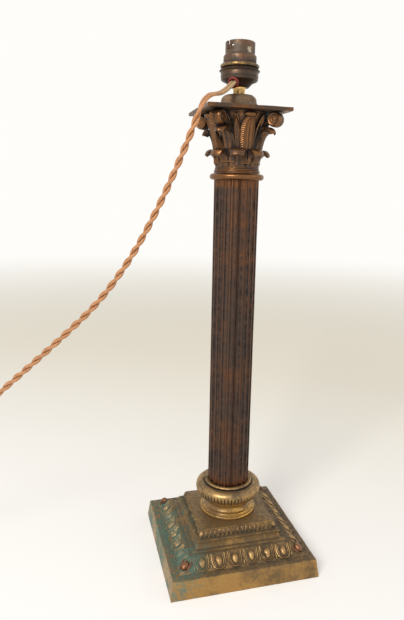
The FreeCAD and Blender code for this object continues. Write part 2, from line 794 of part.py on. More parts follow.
def terminal_screws():
    """The two screws that clamp the flex's conductors, as one group."""
    r = terminal_head_r
    z0 = z_core - terminal_head_height
    z1 = z_core + terminal_screw_length - rod_clearance
    screws = []
    for x, y in terminal_places():
        shank = cylinder(terminal_screw_r - thread_clearance, z0, z1, x, y)
        head = cylinder(r, z0, z_core, x, y)
        slot = Part.makeBox(2 * r, screw_slot_width, screw_slot_depth, V(x - r, y - screw_slot_width / 2, z0))
        screws.append(shank.fuse(head).removeSplitter().cut(slot))
    return Part.makeCompound(screws)


# ---- flex ----------------------------------------------------------------------------------------

def rounded_path(points):
    """Straight runs joined by tangent arcs, each as large as its two runs allow."""
    edges = []
    radii = []
    here = points[0]
    for k in range(1, len(points) - 1):
        before = points[k] - points[k - 1]
        after = points[k + 1] - points[k]
        half_turn = before.getAngle(after) / 2
        cut = 0.45 * min(before.Length, after.Length)
        radii.append(cut / math.tan(half_turn))
        a = before.normalize()
        b = after.normalize()
        start = points[k] - a * cut
        end = points[k] + b * cut
        inward = (b - a).normalize()
        apex = radii[-1] / math.cos(half_turn)
        middle = points[k] + inward * (apex - radii[-1])
        edges.append(Part.LineSegment(here, start).toShape())
        edges.append(Part.Arc(start, middle, end).toShape())
        here = end
    edges.append(Part.LineSegment(here, points[-1]).toShape())
    return Part.Wire(edges), radii


def tube_along(wire, r):
    """Round tube along a smooth path."""
    first = wire.OrderedEdges[0]
    start = first.valueAt(first.FirstParameter)
    heading = first.tangentAt(first.FirstParameter)
    ring = Part.Wire([Part.Circle(start, heading, r).toShape()])
    return wire.makePipeShell([ring], True, False)


def coil_point(u):
    """Centreline of the piled coil at u turns, and its direction.

    The lower layer spirals in, the path climbs while the spiral reverses, and the upper layer
    spirals out."""
    half = coil_turns_per_layer
    reach = abs(u - half)
    blend = coil_turnover
    if reach > blend:
        steady = reach
        slope = math.copysign(1.0, u - half)
    else:
        steady = (reach * reach + blend * blend) / (2 * blend)
        slope = (u - half) / blend
    inner_r = coil_mean_r - coil_pitch * half / 2
    r = inner_r + coil_pitch * steady
    rise = min(max((u - half + blend) / (2 * blend), 0.0), 1.0)
    z = flex_r + coil_pitch * (3 - 2 * rise) * rise * rise
    climb = coil_pitch * 6 * rise * (1 - rise) / (2 * blend)
    angle = math.radians(coil_start_angle) + 2 * math.pi * u
    x = coil_centre[0] + r * math.cos(angle)
    y = coil_centre[1] + r * math.sin(angle)
    dr = coil_pitch * slope
    step = V(dr * math.cos(angle) - 2 * math.pi * r * math.sin(angle),
             dr * math.sin(angle) + 2 * math.pi * r * math.cos(angle), climb)
    return V(x, y, z), step.normalize()


def biarc(p, t, q, s):
    """Two tangent arcs from p, heading t, to q, heading s."""
    v = q - p
    along = v.dot(t + s)
    twice = 2 * (1 - t.dot(s))
    d = (-along + math.sqrt(along * along + twice * v.dot(v))) / twice
    a = p + t * d
    b = q - s * d
    middle = (a + b) * 0.5
    edges = []
    for start, corner, end in ((p, a, middle), (middle, b, q)):
        chord = (start + end) * 0.5
        rise = corner - chord
        half = (end - start).Length / 2
        tilt = math.atan2(rise.Length, half)
        top = chord + rise.normalize() * (half * math.tan(tilt / 2))
        edges.append(Part.Arc(start, top, end).toShape())
    return edges


def coil_wire(lead_in, lead_out):
    """The coil's path: a straight start, a biarc for each quarter turn and a straight end."""
    quarters = int(round(8 * coil_turns_per_layer))
    points = [coil_point(k / 4) for k in range(quarters + 1)]
    first, heading = points[0]
    last, parting = points[-1]
    edges = [Part.LineSegment(first - heading * lead_in, first).toShape()]
    for (p, t), (q, s) in zip(points, points[1:]):
        edges += biarc(p, t, q, s)
    edges.append(Part.LineSegment(last, last + parting * lead_out).toShape())
    return Part.Wire(edges)


def coil_gap(wire):
    """Least free space between two turns of the coil, measured on points along it."""
    points = wire.discretize(Distance=1.5)
    skip = int(2.2 * flex_d)
    least = 1e9
    for i in range(0, len(points), 2):
        for j in range(i + skip, len(points), 2):
            least = min(least, (points[i] - points[j]).Length)
    return least - flex_d


# ---- plug ----------------------------------------------------------------------------------------

def plug_outline(margin, z):
    """Plan of the plug: square at its earth pin, narrowed towards the flex."""
    half = plug_width / 2 - margin
    nose = plug_nose_width / 2 - margin
    front = plug_length / 2 - margin
    waist = -0.12 * plug_length
    points = [(half, waist), (half, front), (-half, front), (-half, waist), (-nose, -front), (nose, -front)]
    return Part.makePolygon([V(x, y, z) for x, y in points + points[:1]])


def rounded_block(margin, z0, z1, taper):
    """Block over the plug's plan with rounded upright edges and tapering sides."""
    lower = plug_outline(margin + taper, z0)
    upper = plug_outline(margin, z1)
    block = Part.makeLoft([lower, upper], True, True)
    upright = [edge for edge in block.Edges if edge.BoundBox.ZLength > 0.9 * (z1 - z0)]
    return block.makeFillet(max(plug_corner_r - margin, 1.0), upright)


def placed(shape):
    """Move a plug piece from the plug's own frame to where it lies."""
    out = shape.copy()
    out.rotate(V(0, 0, 0), V(0, 0, 1), plug_turn)
    out.translate(V(plug_centre[0], plug_centre[1], 0))
    return out


def pin_places():
    """Earth, line and neutral pin centres in the plug's own frame."""
    y_power = -0.14 * plug_length
    return (0, y_power + pin_pitch), (-pin_pitch / 2, y_power), (pin_pitch / 2, y_power)


def plug_entry_height():
    return 0.52 * plug_cover_height + plug_parting


def flex_channel(r, deep):
    """Bar along the flex's way into the plug."""
    z = plug_entry_height()
    return Part.makeCylinder(r, deep + 1, V(0, -plug_length / 2 - 1, z), V(0, 1, 0))


def plug_cover():
    """Back shell of the plug, hollow, with the flex's entry at its narrow end."""
    outer = rounded_block(0, 0, plug_cover_height, plug_cover_taper)
    inner = rounded_block(plug_wall, plug_wall, plug_cover_height + 1, plug_cover_taper)
    shell = outer.cut(inner).cut(flex_channel(flex_r + rod_clearance, plug_wall + 3))
    hole = cylinder(plug_screw_r + plug_screw_clearance, -1, plug_cover_height + 1)
    recess = cylinder(plug_screw_head_r + plug_screw_clearance, -1, plug_wall)
    post = cylinder(plug_post_r, 0, plug_cover_height)
    return placed(shell.fuse(post).cut([hole, recess]).removeSplitter())


def pin_bar(place, size, z0, z1, margin=0.0):
    """Upright rectangular bar at a pin's place."""
    w = size[0] + 2 * margin
    d = size[1] + 2 * margin
    return Part.makeBox(w, d, z1 - z0, V(place[0] - w / 2, place[1] - d / 2, z0))


def plug_base():
    """Pin side of the plug: a plate with three pin slots and a rebate that locates the cover."""
    z0 = plug_cover_height + plug_parting
    z1 = z0 + plug_base_height
    plate = rounded_block(0, z0, z1, 0)
    for place, size in zip(pin_places(), (earth_pin, power_pin, power_pin)):
        plate = plate.cut(pin_bar(place, size, z0 - 1, z1 + 1, thread_clearance))
    hole = cylinder(plug_screw_r + plug_screw_clearance, z0 - 1, z0 + 0.6 * plug_base_height)
    return placed(plate.cut(hole))


def plug_pin(place, size):
    """Plug pin with its terminal block behind the plate."""
    z0 = plug_cover_height + plug_parting
    z1 = z0 + plug_base_height + size[2]
    blade = pin_bar(place, size, z0, z1)
    top = [edge for edge in blade.Edges if edge.BoundBox.ZMin > z1 - 1e-6]
    blade = blade.makeChamfer(0.9, top)
    block = pin_bar(place, size, z0 - pin_block_depth, z0, pin_block_margin)
    return placed(blade.fuse(block).removeSplitter())


def plug_fuse():
    """Cartridge fuse beside the line pin."""
    z = plug_wall + fuse_r + rod_clearance
    return placed(Part.makeCylinder(fuse_r, fuse_length, V(-fuse_inward, -fuse_back, z), V(0, 1, 0)))


def plug_cord_grip():
    """Bar with two screws that holds the flex inside the plug."""
    z = plug_entry_height() + flex_r + rod_clearance
    wide, deep, thick = grip_bar
    bar = Part.makeBox(wide, deep, thick, V(-wide / 2, -grip_back - deep / 2, z))
    screws = [cylinder(plug_screw_r, z - 2 * flex_r, z + thick + 1, x, -grip_back)
              for x in (-grip_screw_out, grip_screw_out)]
    return placed(joined([bar] + screws))


def plug_screw():
    """Screw that closes the plug, its head sunk in the cover."""
    r = plug_screw_head_r
    z0 = plug_wall / 3
    head = cylinder(r, z0, plug_wall)
    shank = cylinder(plug_screw_r, z0, plug_cover_height + plug_base_height / 2)
    slot = Part.makeBox(2 * r, screw_slot_width, screw_slot_depth, V(-r, -screw_slot_width / 2, z0))
    return placed(head.fuse(shank).removeSplitter().cut(slot))


# ---- the flex's whole run and the list of pieces -------------------------------------------------

def flex_pieces():
    """The lead from the lampholder to the coil, the coil, and the tail into the plug."""
    centre, out = exit_axis()
    start = centre - out * (grommet_length / 2)
    coil_start, heading = coil_point(0)
    coil_end, parting = coil_point(2 * coil_turns_per_layer)
    lead_end = coil_start - heading * flex_d
    tail_start = coil_end + parting * flex_d
    route = [start, centre + out * flex_straight] + [V(*point) for point in flex_route]
    route += [lead_end - heading * flex_straight, lead_end]
    lead, lead_radii = rounded_path(route)
    spiral = coil_wire(flex_d, flex_d)
    entry = placed(Part.Vertex(0, -plug_length / 2 + plug_wall + 2, plug_entry_height())).Point
    tail_points = [tail_start, tail_start + parting * flex_straight]
    tail_points += [V(*point) for point in tail_route] + [entry]
    tail, tail_radii = rounded_path(tail_points)
    print("lead radii", [round(r) for r in lead_radii])
    print("tail radii", [round(r) for r in tail_radii])
    print("lengths", round(lead.Length), round(spiral.Length), round(tail.Length),
          "sum", round(lead.Length + spiral.Length + tail.Length))
    print("least gap between the coil's turns", round(coil_gap(spiral), 2))
    tubes = [tube_along(wire, flex_r) for wire in (lead, spiral, tail)]
    for name, wire, tube in zip(("lead", "coil", "tail"), (lead, spiral, tail), tubes):
        print(name, "volume over section times length",
              round(tube.Volume / (math.pi * flex_r ** 2 * wire.Length), 4))
    return tubes


def build():
    left, right = plunger_places()
    earth, line, neutral = pin_places()
    lead, coil, tail = flex_pieces()
    return {
        "plinth": plinth(),
        "base_scotia": base_scotia(),
        "gadroon_ring": gadroon_ring(),
        "shaft": shaft(),
        "neck_ring": neck_ring(),
        "capital": capital(),
        "abacus": abacus(),
        "abacus_cap": abacus_cap(),
        "tie_rod": tie_rod(),
        "base_washer": base_washer(),
        "base_nut": base_nut(),
        "rod_collar": rod_collar(),
        "holder_cap": holder_cap(),
        "cord_grommet": cord_grommet(),
        "coupling_ring": coupling_ring(),
        "shade_ring": shade_ring(),
        "holder_barrel": holder_barrel(),
        "holder_core": holder_core(),
        "plunger_left": plunger(left),
        "plunger_right": plunger(right),
        "plunger_spring_left": plunger_spring(left),
        "plunger_spring_right": plunger_spring(right),
        "terminal_screws": terminal_screws(),
        "flex_lead": lead,
        "flex_coil": coil,
        "flex_tail": tail,
        "plug_cover": plug_cover(),
        "plug_base": plug_base(),
        "plug_earth_pin": plug_pin(earth, earth_pin),
        "plug_line_pin": plug_pin(line, power_pin),
        "plug_neutral_pin": plug_pin(neutral, power_pin),
        "plug_fuse": plug_fuse(),
        "plug_cord_grip": plug_cord_grip(),
        "plug_screw": plug_screw(),
    }


os.makedirs("parts", exist_ok=True)
for name, shape in build().items():
    shape.exportStep("parts/" + name + ".step")
    print(name, len(shape.Solids), shape.isValid(), round(shape.Volume))
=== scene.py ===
"""Looks for the brass column table lamp: cast ornament, aged metals and the twisted silk flex.

Shapes are modelled in millimetres in the CAD frame and brought to metres when a piece is made.
"""
from math import asin, atan2, cos, degrees, exp, hypot, pi, radians, sin, sqrt

import bmesh
import bpy
import numpy as np
from mathutils import Matrix, Vector, noise
from mathutils.bvhtree import BVHTree


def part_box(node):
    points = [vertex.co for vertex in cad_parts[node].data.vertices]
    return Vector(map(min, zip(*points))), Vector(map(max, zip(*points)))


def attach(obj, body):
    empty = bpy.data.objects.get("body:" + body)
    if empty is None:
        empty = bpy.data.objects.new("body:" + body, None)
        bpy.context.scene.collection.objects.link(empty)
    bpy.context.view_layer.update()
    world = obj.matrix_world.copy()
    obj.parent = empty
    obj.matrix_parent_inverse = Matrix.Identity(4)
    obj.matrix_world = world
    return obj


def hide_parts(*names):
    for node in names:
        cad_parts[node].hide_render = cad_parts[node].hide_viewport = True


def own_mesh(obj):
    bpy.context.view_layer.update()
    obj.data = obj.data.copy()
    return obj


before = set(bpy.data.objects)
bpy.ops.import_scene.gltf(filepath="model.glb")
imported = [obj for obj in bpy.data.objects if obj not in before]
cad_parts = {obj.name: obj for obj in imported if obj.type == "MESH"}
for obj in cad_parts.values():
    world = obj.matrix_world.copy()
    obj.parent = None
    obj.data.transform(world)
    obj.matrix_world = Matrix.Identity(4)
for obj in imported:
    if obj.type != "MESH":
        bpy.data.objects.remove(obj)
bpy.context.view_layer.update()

MM = 0.001
scene = bpy.context.scene
scene.view_settings.view_transform = "Standard"

# heights and half-widths that the CAD pieces have, in millimetres
SLAB_TOP, EGG_TOP, STEP_TOP, LEAF_TOP, PLATFORM = 18.3, 28.0, 36.4, 43.2, 44.0
EGG_FOOT_HALF, EGG_TOP_HALF = 62.0, 50.0
LEAF_FOOT_HALF, LEAF_TOP_HALF = 38.0, 36.0
SHAFT_FOOT, NECK = 74.8, 370.5
CAPITAL, ABACUS, CAP, COLLAR, HOLDER = 380.1, 427.7, 430.7, 442.6, 449.2
SHAFT_R, BELL_R, BELL_LIP_R, ABACUS_HALF = 20.4, 18.8, 27.0, 37.1
LEAF_TURN = 5.0  # degrees that the capital's leaves are turned by
FLUTES, FLUTE_HALF_WIDTH, FLUTE_DEPTH, SHEET, SEAM_AT = 20, 2.35, 1.5, 0.9, -99
LOBES, LOBE_CUT = 58, 1.6


# ---- camera ----

def place_camera():
    """The photograph's view: from the front, a little to the left and above."""
    turn, drop, roll = radians(-15.76), radians(12.27), radians(1.38)
    level = Vector((cos(turn), sin(turn), 0))
    forward = Vector((-sin(turn) * cos(drop), cos(turn) * cos(drop), -sin(drop)))
    upright = level.cross(forward)
    right = level * cos(roll) + upright * sin(roll)
    up = upright * cos(roll) - level * sin(roll)
    lens = bpy.data.cameras.new("camera")
    lens.lens, lens.shift_x, lens.shift_y = 32.27, -0.0308, 0.0028
    lens.clip_start = 0.01
    camera = bpy.data.objects.new("camera", lens)
    axes = Matrix((right, up, -forward)).transposed().to_4x4()
    camera.matrix_world = Matrix.Translation((-0.15146, -0.49569, 0.36069)) @ axes
    scene.collection.objects.link(camera)
    scene.camera = camera


place_camera()


# ---- shader building ----

class Tree:
    """Adds shader nodes to a node tree, each input given as a value or a socket."""

    def __init__(self, tree):
        self.tree = tree

    def add(self, kind, inputs=(), **settings):
        node = self.tree.nodes.new("ShaderNode" + kind)
        for name, value in settings.items():
            setattr(node, name, value)
        self.give(node, dict(inputs))
        return node

    def give(self, node, inputs):
        for key, value in inputs.items():
            if isinstance(value, bpy.types.NodeSocket):
                self.tree.links.new(value, node.inputs[key])
            else:
                node.inputs[key].default_value = value

    def feed(self, node, **inputs):
        """Give a node's inputs, with underscores in their names, a value or a socket each."""
        self.give(node, {name.replace("_", " "): value for name, value in inputs.items()})

    def bumps(self, shader, height, strength, distance):
        lumps = self.add("Bump", {"Height": height, "Strength": strength, "Distance": distance})
        self.feed(shader, Normal=lumps.outputs[0])

    def maths(self, operation, *values, clamp=False):
        return self.add("Math", dict(enumerate(values)), operation=operation, use_clamp=clamp).outputs[0]

    def times(self, *values, clamp=False):
        return self.maths("MULTIPLY", *values, clamp=clamp)

    def scaled(self, value, by, plus, clamp=False):
        return self.maths("MULTIPLY_ADD", value, by, plus, clamp=clamp)

    def spread(self, value, low, high, to_low=0.0, to_high=1.0):
        """value taken smoothly from low..high to to_low..to_high."""
        keys = {"Value": value, "From Min": low, "From Max": high, "To Min": to_low, "To Max": to_high}
        return self.add("MapRange", keys, interpolation_type="SMOOTHSTEP").outputs[0]

    def blend(self, amount, first, second, how="MIX"):
        keys = {0: amount, 6: first, 7: second}
        return self.add("Mix", keys, data_type="RGBA", blend_type=how).outputs[2]

    def noise(self, place, scale, detail=3.0, rough=0.55):
        keys = {"Vector": place, "Scale": scale, "Detail": detail, "Roughness": rough}
        return self.add("TexNoise", keys).outputs["Fac"]

    def place(self, **move):
        """The piece's own coordinates in metres, moved or stretched where move says so."""
        where = self.add("TexCoord").outputs["Object"]
        return self.add("Mapping", {"Vector": where, **move}).outputs[0] if move else where

    def attribute(self, name):
        return self.add("Attribute", attribute_name=name).outputs["Fac"]


def shader_group(name, inputs, outputs, fill):
    """Node group; fill(tree, inputs) gives a socket for each output's name."""
    group = bpy.data.node_groups.new(name, "ShaderNodeTree")
    for label, (kind, default) in inputs.items():
        socket = group.interface.new_socket(name=label, in_out="INPUT", socket_type="NodeSocket" + kind)
        socket.default_value = default
    for label, kind in outputs.items():
        group.interface.new_socket(name=label, in_out="OUTPUT", socket_type="NodeSocket" + kind)
    given = group.nodes.new("NodeGroupInput").outputs
    end = group.nodes.new("NodeGroupOutput")
    for label, socket in fill(Tree(group), given).items():
        group.links.new(socket, end.inputs[label])
    return group


def new_material(name):
    material = bpy.data.materials.new(name)
    material.use_nodes = True
    material.node_tree.nodes.clear()
    tree = Tree(material.node_tree)
    shader = tree.add("BsdfPrincipled")
    tree.add("OutputMaterial", {"Surface": shader.outputs[0]})
    return material, tree, shader


def fill_aged_metal(tree, given):
    """Metal under a worn brown film, with grime and painted shade in its hollows and a green bloom."""
    place = tree.place()
    scale = given["Patch Scale"]
    patches = tree.noise(place, scale, 4.0)
    fine = tree.noise(place, tree.times(scale, 8.0), 4.0, 0.65)
    specks = tree.noise(place, 1500.0, 2.0)
    shelter = tree.attribute("shelter")
    worn = tree.times(tree.attribute("ridge"), given["Wear"])

    film = tree.scaled(patches, 4.0, -3.1)
    film = tree.scaled(given["Film Amount"], 2.0, film)
    film = tree.scaled(fine, 1.2, film)
    film = tree.scaled(worn, -2.5, film, clamp=True)
    # darker where the piece is sheltered: partly real grime, partly painted shade in the hollows
    grime = tree.scaled(fine, 1.4, tree.scaled(shelter, 2.6, -1.25), clamp=True)
    grime = tree.times(grime, given["Grime And Shade Amount"], clamp=True)
    dust = tree.times(tree.attribute("level"), given["Dust Amount"])
    dust = tree.times(dust, tree.spread(fine, 0.25, 0.7, 0.35, 1.0), clamp=True)
    bloom = tree.scaled(patches, 2.0, tree.scaled(fine, 3.0, -3.0))
    bloom = tree.maths("ADD", bloom, shelter)
    bloom = tree.maths("ADD", bloom, given["Bloom Amount"], clamp=True)
    bloom = tree.times(bloom, tree.times(given["Bloom Amount"], 1.2, clamp=True))

    colour = tree.blend(film, given["Metal"], given["Film"])
    colour = tree.blend(dust, colour, given["Dust"])
    colour = tree.blend(grime, colour, given["Grime And Shade"])
    colour = tree.blend(bloom, colour, given["Bloom"])
    shade = tree.spread(specks, 0.3, 0.7, 0.78, 1.18)
    colour = tree.blend(1.0, colour, tree.add("CombineColor", {0: shade, 1: shade, 2: shade}).outputs[0],
                        "MULTIPLY")
    bare = tree.maths("SUBTRACT", 1.0, tree.times(film, given["Film Body"]))
    rough = tree.scaled(film, 0.16, given["Polish"])
    for cover in (grime, bloom, dust):
        bare = tree.times(bare, tree.maths("SUBTRACT", 1.0, cover))
        rough = tree.scaled(cover, 0.3, rough)
    rough = tree.maths("ADD", rough, tree.scaled(fine, 0.2, -0.1), clamp=True)
    height = tree.scaled(bloom, 0.4, tree.scaled(fine, 0.7, tree.times(specks, 0.3)))
    return {"Color": colour, "Metallic": bare, "Roughness": rough, "Height": height}


aged_metal = shader_group(
    "aged metal",
    {"Metal": ("Color", (0.5, 0.3, 0.1, 1)), "Film": ("Color", (0.1, 0.06, 0.03, 1)),
     "Grime And Shade": ("Color", (0.03, 0.02, 0.012, 1)), "Bloom": ("Color", (0.17, 0.24, 0.18, 1)),
     "Dust": ("Color", (0.070, 0.054, 0.033, 1)), "Dust Amount": ("Float", 0.0),
     "Film Amount": ("Float", 0.5), "Film Body": ("Float", 0.7), "Grime And Shade Amount": ("Float", 0.8),
     "Bloom Amount": ("Float", 0.0), "Wear": ("Float", 0.5), "Patch Scale": ("Float", 40.0),
     "Polish": ("Float", 0.3)},
    {"Color": "Color", "Metallic": "Float", "Roughness": "Float", "Height": "Float"},
    fill_aged_metal)


AMOUNTS = {"film": "Film Amount", "body": "Film Body", "grime": "Grime And Shade Amount", "dust": "Dust Amount",
           "wear": "Wear", "patches": "Patch Scale", "polish": "Polish"}


def metal(name, colours, bump=0.25, bloom=None, **amounts):
    """Metal finish from its metal, film and grime colours; the grime colour also stands for painted shade in
    the hollows.

    bloom(tree) may give a socket for where a bloom grows, whose colour comes fourth."""
    material, tree, shader = new_material(name)
    group = tree.add("Group", node_tree=aged_metal)
    for label, colour in zip(("Metal", "Film", "Grime And Shade", "Bloom"), colours):
        group.inputs[label].default_value = (*colour, 1)
    for label, value in amounts.items():
        group.inputs[AMOUNTS[label]].default_value = value
    if bloom:
        tree.feed(group, Bloom_Amount=bloom(tree))
    made = group.outputs
    tree.feed(shader, Metallic=made["Metallic"], Roughness=made["Roughness"], Base_Color=made["Color"])
    tree.bumps(shader, made["Height"], bump, 0.0006)
    return material


GRAIN = 400.0  # fine grain of moulded finishes, per metre


def plain(name, colour, rough=0.5, variation=0.15, bump=0.1):
    """Moulded or plain finish: one colour with a fine mottle, a slight grain and painted shade in its
    hollows.
    """
    material, tree, shader = new_material(name)
    place = tree.place()
    mottle = tree.noise(place, GRAIN / 6, 3.0)
    fine = tree.noise(place, GRAIN, 2.0)
    darker = tuple(c * (1 - 2 * variation) for c in colour) + (1,)
    lighter = tuple(min(1, c * (1 + variation)) for c in colour) + (1,)
    shade = tree.blend(tree.spread(mottle, 0.3, 0.7), darker, lighter)
    # painted shade: darker, down to 0.35 of the colour, where the piece is sheltered
    shade = tree.blend(tree.times(tree.attribute("shelter"), 0.7, clamp=True), shade,
                       tuple(c * 0.35 for c in colour) + (1,))
    tree.feed(shader, Base_Color=shade, Roughness=tree.spread(fine, 0.2, 0.8, rough - 0.08, rough + 0.1))
    tree.bumps(shader, fine, bump, 0.0002)
    return material


def left_bloom(tree):
    """Green bloom on the base's left, thinning out towards the front right."""
    axes = tree.add("SeparateXYZ", {0: tree.place()}).outputs
    left = tree.spread(axes[0], -0.012, -0.066)
    low = tree.spread(axes[2], 0.058, 0.030)
    spots = tree.spread(tree.noise(tree.place(), 55.0, 4.0), 0.42, 0.62)
    spread = tree.scaled(left, 0.8, tree.times(spots, 0.22))
    return tree.times(spread, low, clamp=True)


def worn_spot(tree):
    """Pale rubbed patch on the barrel's front, right of its middle."""
    place = tree.place(Location=(-0.0048, 0.0120, -0.4785))
    away = tree.add("VectorMath", {0: place}, operation="LENGTH").outputs["Value"]
    rough_edge = tree.scaled(tree.noise(tree.place(), 420.0), 0.007, away)
    return tree.spread(rough_edge, 0.0078, 0.0040, 0.0, 1.3)


VERDIGRIS = (0.115, 0.20, 0.155)
base_brass = metal(
    "base brass", ((0.40, 0.235, 0.082), (0.165, 0.10, 0.040), (0.05, 0.034, 0.018), VERDIGRIS),
    film=0.62, body=0.55, grime=0.5, wear=0.9, patches=34.0, polish=0.36,
    dust=0.85, bloom=left_bloom)
ornament_brass = metal(
    "ornament brass", ((0.42, 0.26, 0.11), (0.15, 0.095, 0.044), (0.030, 0.019, 0.010), VERDIGRIS),
    film=0.64, body=0.5, grime=1.3, wear=0.9, patches=70.0, polish=0.36,
    dust=0.35, bloom=left_bloom)
corner_copper = metal(
    "corner copper", ((0.24, 0.115, 0.06), (0.10, 0.048, 0.027), (0.03, 0.017, 0.010)),
    film=0.85, body=0.7, grime=1.4, wear=0.8, patches=70.0, polish=0.40)
foot_gold = metal(
    "foot gold", ((0.56, 0.33, 0.09), (0.22, 0.125, 0.045), (0.05, 0.028, 0.014)),
    film=0.62, body=0.7, grime=1.4, wear=0.9, patches=38.0, polish=0.2, bump=0.04)
ring_brass = metal(
    "ring brass", ((0.46, 0.29, 0.12), (0.16, 0.105, 0.050), (0.016, 0.008, 0.004)),
    film=0.56, body=0.65, grime=2.0, wear=0.3, patches=60.0, polish=0.36,
    dust=0.4)
shaft_bronze = metal(
    "shaft bronze", ((0.15, 0.068, 0.034), (0.046, 0.021, 0.010), (0.007, 0.0030, 0.0015)),
    film=0.62, body=0.92, grime=1.5, wear=1.5, patches=22.0, polish=0.42, bump=0.15)
capital_bronze = metal(
    "capital bronze", ((0.20, 0.095, 0.040), (0.058, 0.030, 0.015), (0.014, 0.007, 0.004)),
    film=0.66, body=0.75, grime=1.1, wear=1.0, patches=70.0, polish=0.33)
cap_bronze = metal(
    "cap bronze", ((0.34, 0.20, 0.11), (0.15, 0.095, 0.053), (0.035, 0.021, 0.013)),
    film=0.66, body=0.75, grime=1.0, wear=0.8, patches=80.0, polish=0.42,
    dust=0.4)
bright_brass = metal(
    "bright brass", ((0.80, 0.52, 0.18), (0.24, 0.13, 0.045), (0.03, 0.017, 0.008)),
    film=0.30, body=0.6, grime=0.8, wear=0.9, patches=90.0, polish=0.18, bump=0.06)
holder_brown = metal(
    "holder brown", ((0.12, 0.07, 0.042), (0.040, 0.025, 0.016), (0.014, 0.008, 0.005)),
    film=0.75, body=0.75, grime=1.1, wear=0.7, patches=60.0, polish=0.34, bump=0.12)
barrel_copper = metal(
    "barrel copper", ((0.18, 0.095, 0.055), (0.082, 0.057, 0.036), (0.022, 0.015, 0.010), (0.60, 0.52, 0.38)),
    film=0.80, body=0.65, grime=1.2, wear=0.8, patches=85.0, polish=0.36, bump=0.2,
    bloom=worn_spot)
ring_gold = metal(
    "ring gold", ((0.50, 0.31, 0.11), (0.13, 0.08, 0.035), (0.02, 0.012, 0.006)),
    film=0.84, body=0.6, grime=1.8, wear=0.5, patches=60.0, polish=0.16, bump=0.04)
steel = metal(
    "dull steel", ((0.42, 0.41, 0.39), (0.22, 0.20, 0.18), (0.06, 0.05, 0.04)),
    film=0.45, body=0.4, grime=0.8, wear=0.8, patches=80.0, polish=0.34, bump=0.1)
red_rubber = plain("red rubber", (0.26, 0.028, 0.022), 0.5)
insulator = plain("insulator", (0.62, 0.58, 0.50), 0.4, 0.08)
plug_black = plain("plug black", (0.022, 0.020, 0.019), 0.34, 0.12, bump=0.05)
fuse_ceramic = plain("fuse ceramic", (0.70, 0.66, 0.58), 0.35, 0.06)
grip_fibre = plain("grip fibre", (0.20, 0.07, 0.04), 0.6)


# ---- modelling helpers ----

def show(name, bm, finish, body="lamp", crease=40, replaces=(), metres=False):
    """A piece of the lamp from a bmesh in millimetres, smooth but for its sharp edges."""
    if not metres:
        bmesh.ops.scale(bm, vec=(MM, MM, MM), verts=bm.verts)
    bm.normal_update()
    for face in bm.faces:
        face.smooth = True
    for edge in bm.edges:
        edge.smooth = len(edge.link_faces) != 2 or edge.calc_face_angle(0) < radians(crease)
    mesh = bpy.data.meshes.new(name)
    bm.to_mesh(mesh)
    bm.free()
    mesh.materials.append(finish)
    piece = bpy.data.objects.new(name, mesh)
    scene.collection.objects.link(piece)
    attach(piece, body)
    if replaces:
        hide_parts(*replaces)
    return piece


def arc(first, through, last, count):
    """Points on the arc from first through a middle point to last, without first."""
    a, b, c = first, through, last
    d = 2 * (a.x * (b.y - c.y) + b.x * (c.y - a.y) + c.x * (a.y - b.y))
    squares = [p.dot(p) for p in (a, b, c)]
    centre = Vector((squares[0] * (b.y - c.y) + squares[1] * (c.y - a.y) + squares[2] * (a.y - b.y),
                     squares[0] * (c.x - b.x) + squares[1] * (a.x - c.x) + squares[2] * (b.x - a.x))) / d
    angles = [atan2(p.y - centre.y, p.x - centre.x) for p in (a, b, c)]
    sweep = (angles[2] - angles[0]) % (2 * pi)
    if (angles[1] - angles[0]) % (2 * pi) > sweep:
        sweep -= 2 * pi
    radius = (a - centre).length
    return [centre + Vector((cos(t), sin(t))) * radius
            for t in (angles[0] + sweep * k / count for k in range(1, count + 1))]


def profile(start, *steps, count=7):
    """Points of an outline: a step is the next point, or (through, end) for an arc."""
    points = [Vector(start)]
    for step in steps:
        if isinstance(step[0], tuple):
            points += arc(points[-1], Vector(step[0]), Vector(step[1]), count)
        else:
            points.append(Vector(step))
    return points


def smooth_line(points, count=60):
    """Evenly spaced points on a smooth curve through a few given ones, as a numpy array."""
    given = np.array(points, float)
    ends = np.vstack([2 * given[0] - given[1], given, 2 * given[-1] - given[-2]])
    fine = []
    for a, b, c, d in zip(ends, ends[1:], ends[2:], ends[3:]):
        for t in np.linspace(0, 1, 12, endpoint=False):
            fine.append(b + 0.5 * t * (c - a + t * (2 * a - 5 * b + 4 * c - d + t * (3 * (b - c) + d - a))))
    fine = np.array(fine + [given[-1]])
    run = np.concatenate([[0], np.cumsum(np.linalg.norm(np.diff(fine, axis=0), axis=1))])
    wanted = np.linspace(0, run[-1], count)
    return np.stack([np.interp(wanted, run, fine[:, k]) for k in range(fine.shape[1])], axis=1)


def round_edges(bm, width, over=28, segments=2):
    """Round the edges that are sharper than an angle."""
    bm.normal_update()
    sharp = [e for e in bm.edges if len(e.link_faces) == 2 and e.calc_face_angle(0) > radians(over)]
    bmesh.ops.bevel(bm, geom=sharp, offset=width, offset_type="OFFSET", segments=segments, profile=0.5,
                    affect="EDGES", clamp_overlap=True, material=-1)


def lathe(points, steps=96, closed=True, edge=0.25, quarter=False):
    """Profile of (radius, height) points spun about Z; quarter gives a mitred square instead."""
    bm = bmesh.new()
    slant = 1.0 if quarter else 0.0
    row = [bm.verts.new((p[0], slant * p[0], p[1])) for p in points]
    edges = [bm.edges.new(pair) for pair in zip(row, row[1:] + row[:1] * closed)]
    bmesh.ops.spin(bm, geom=row + edges, cent=(0, 0, 0), axis=(0, 0, 1), angle=2 * pi,
                   steps=4 if quarter else steps, use_merge=True)
    bmesh.ops.remove_doubles(bm, verts=bm.verts, dist=1e-4)
    outwards(bm)
    if edge:
        round_edges(bm, edge)
    return bm


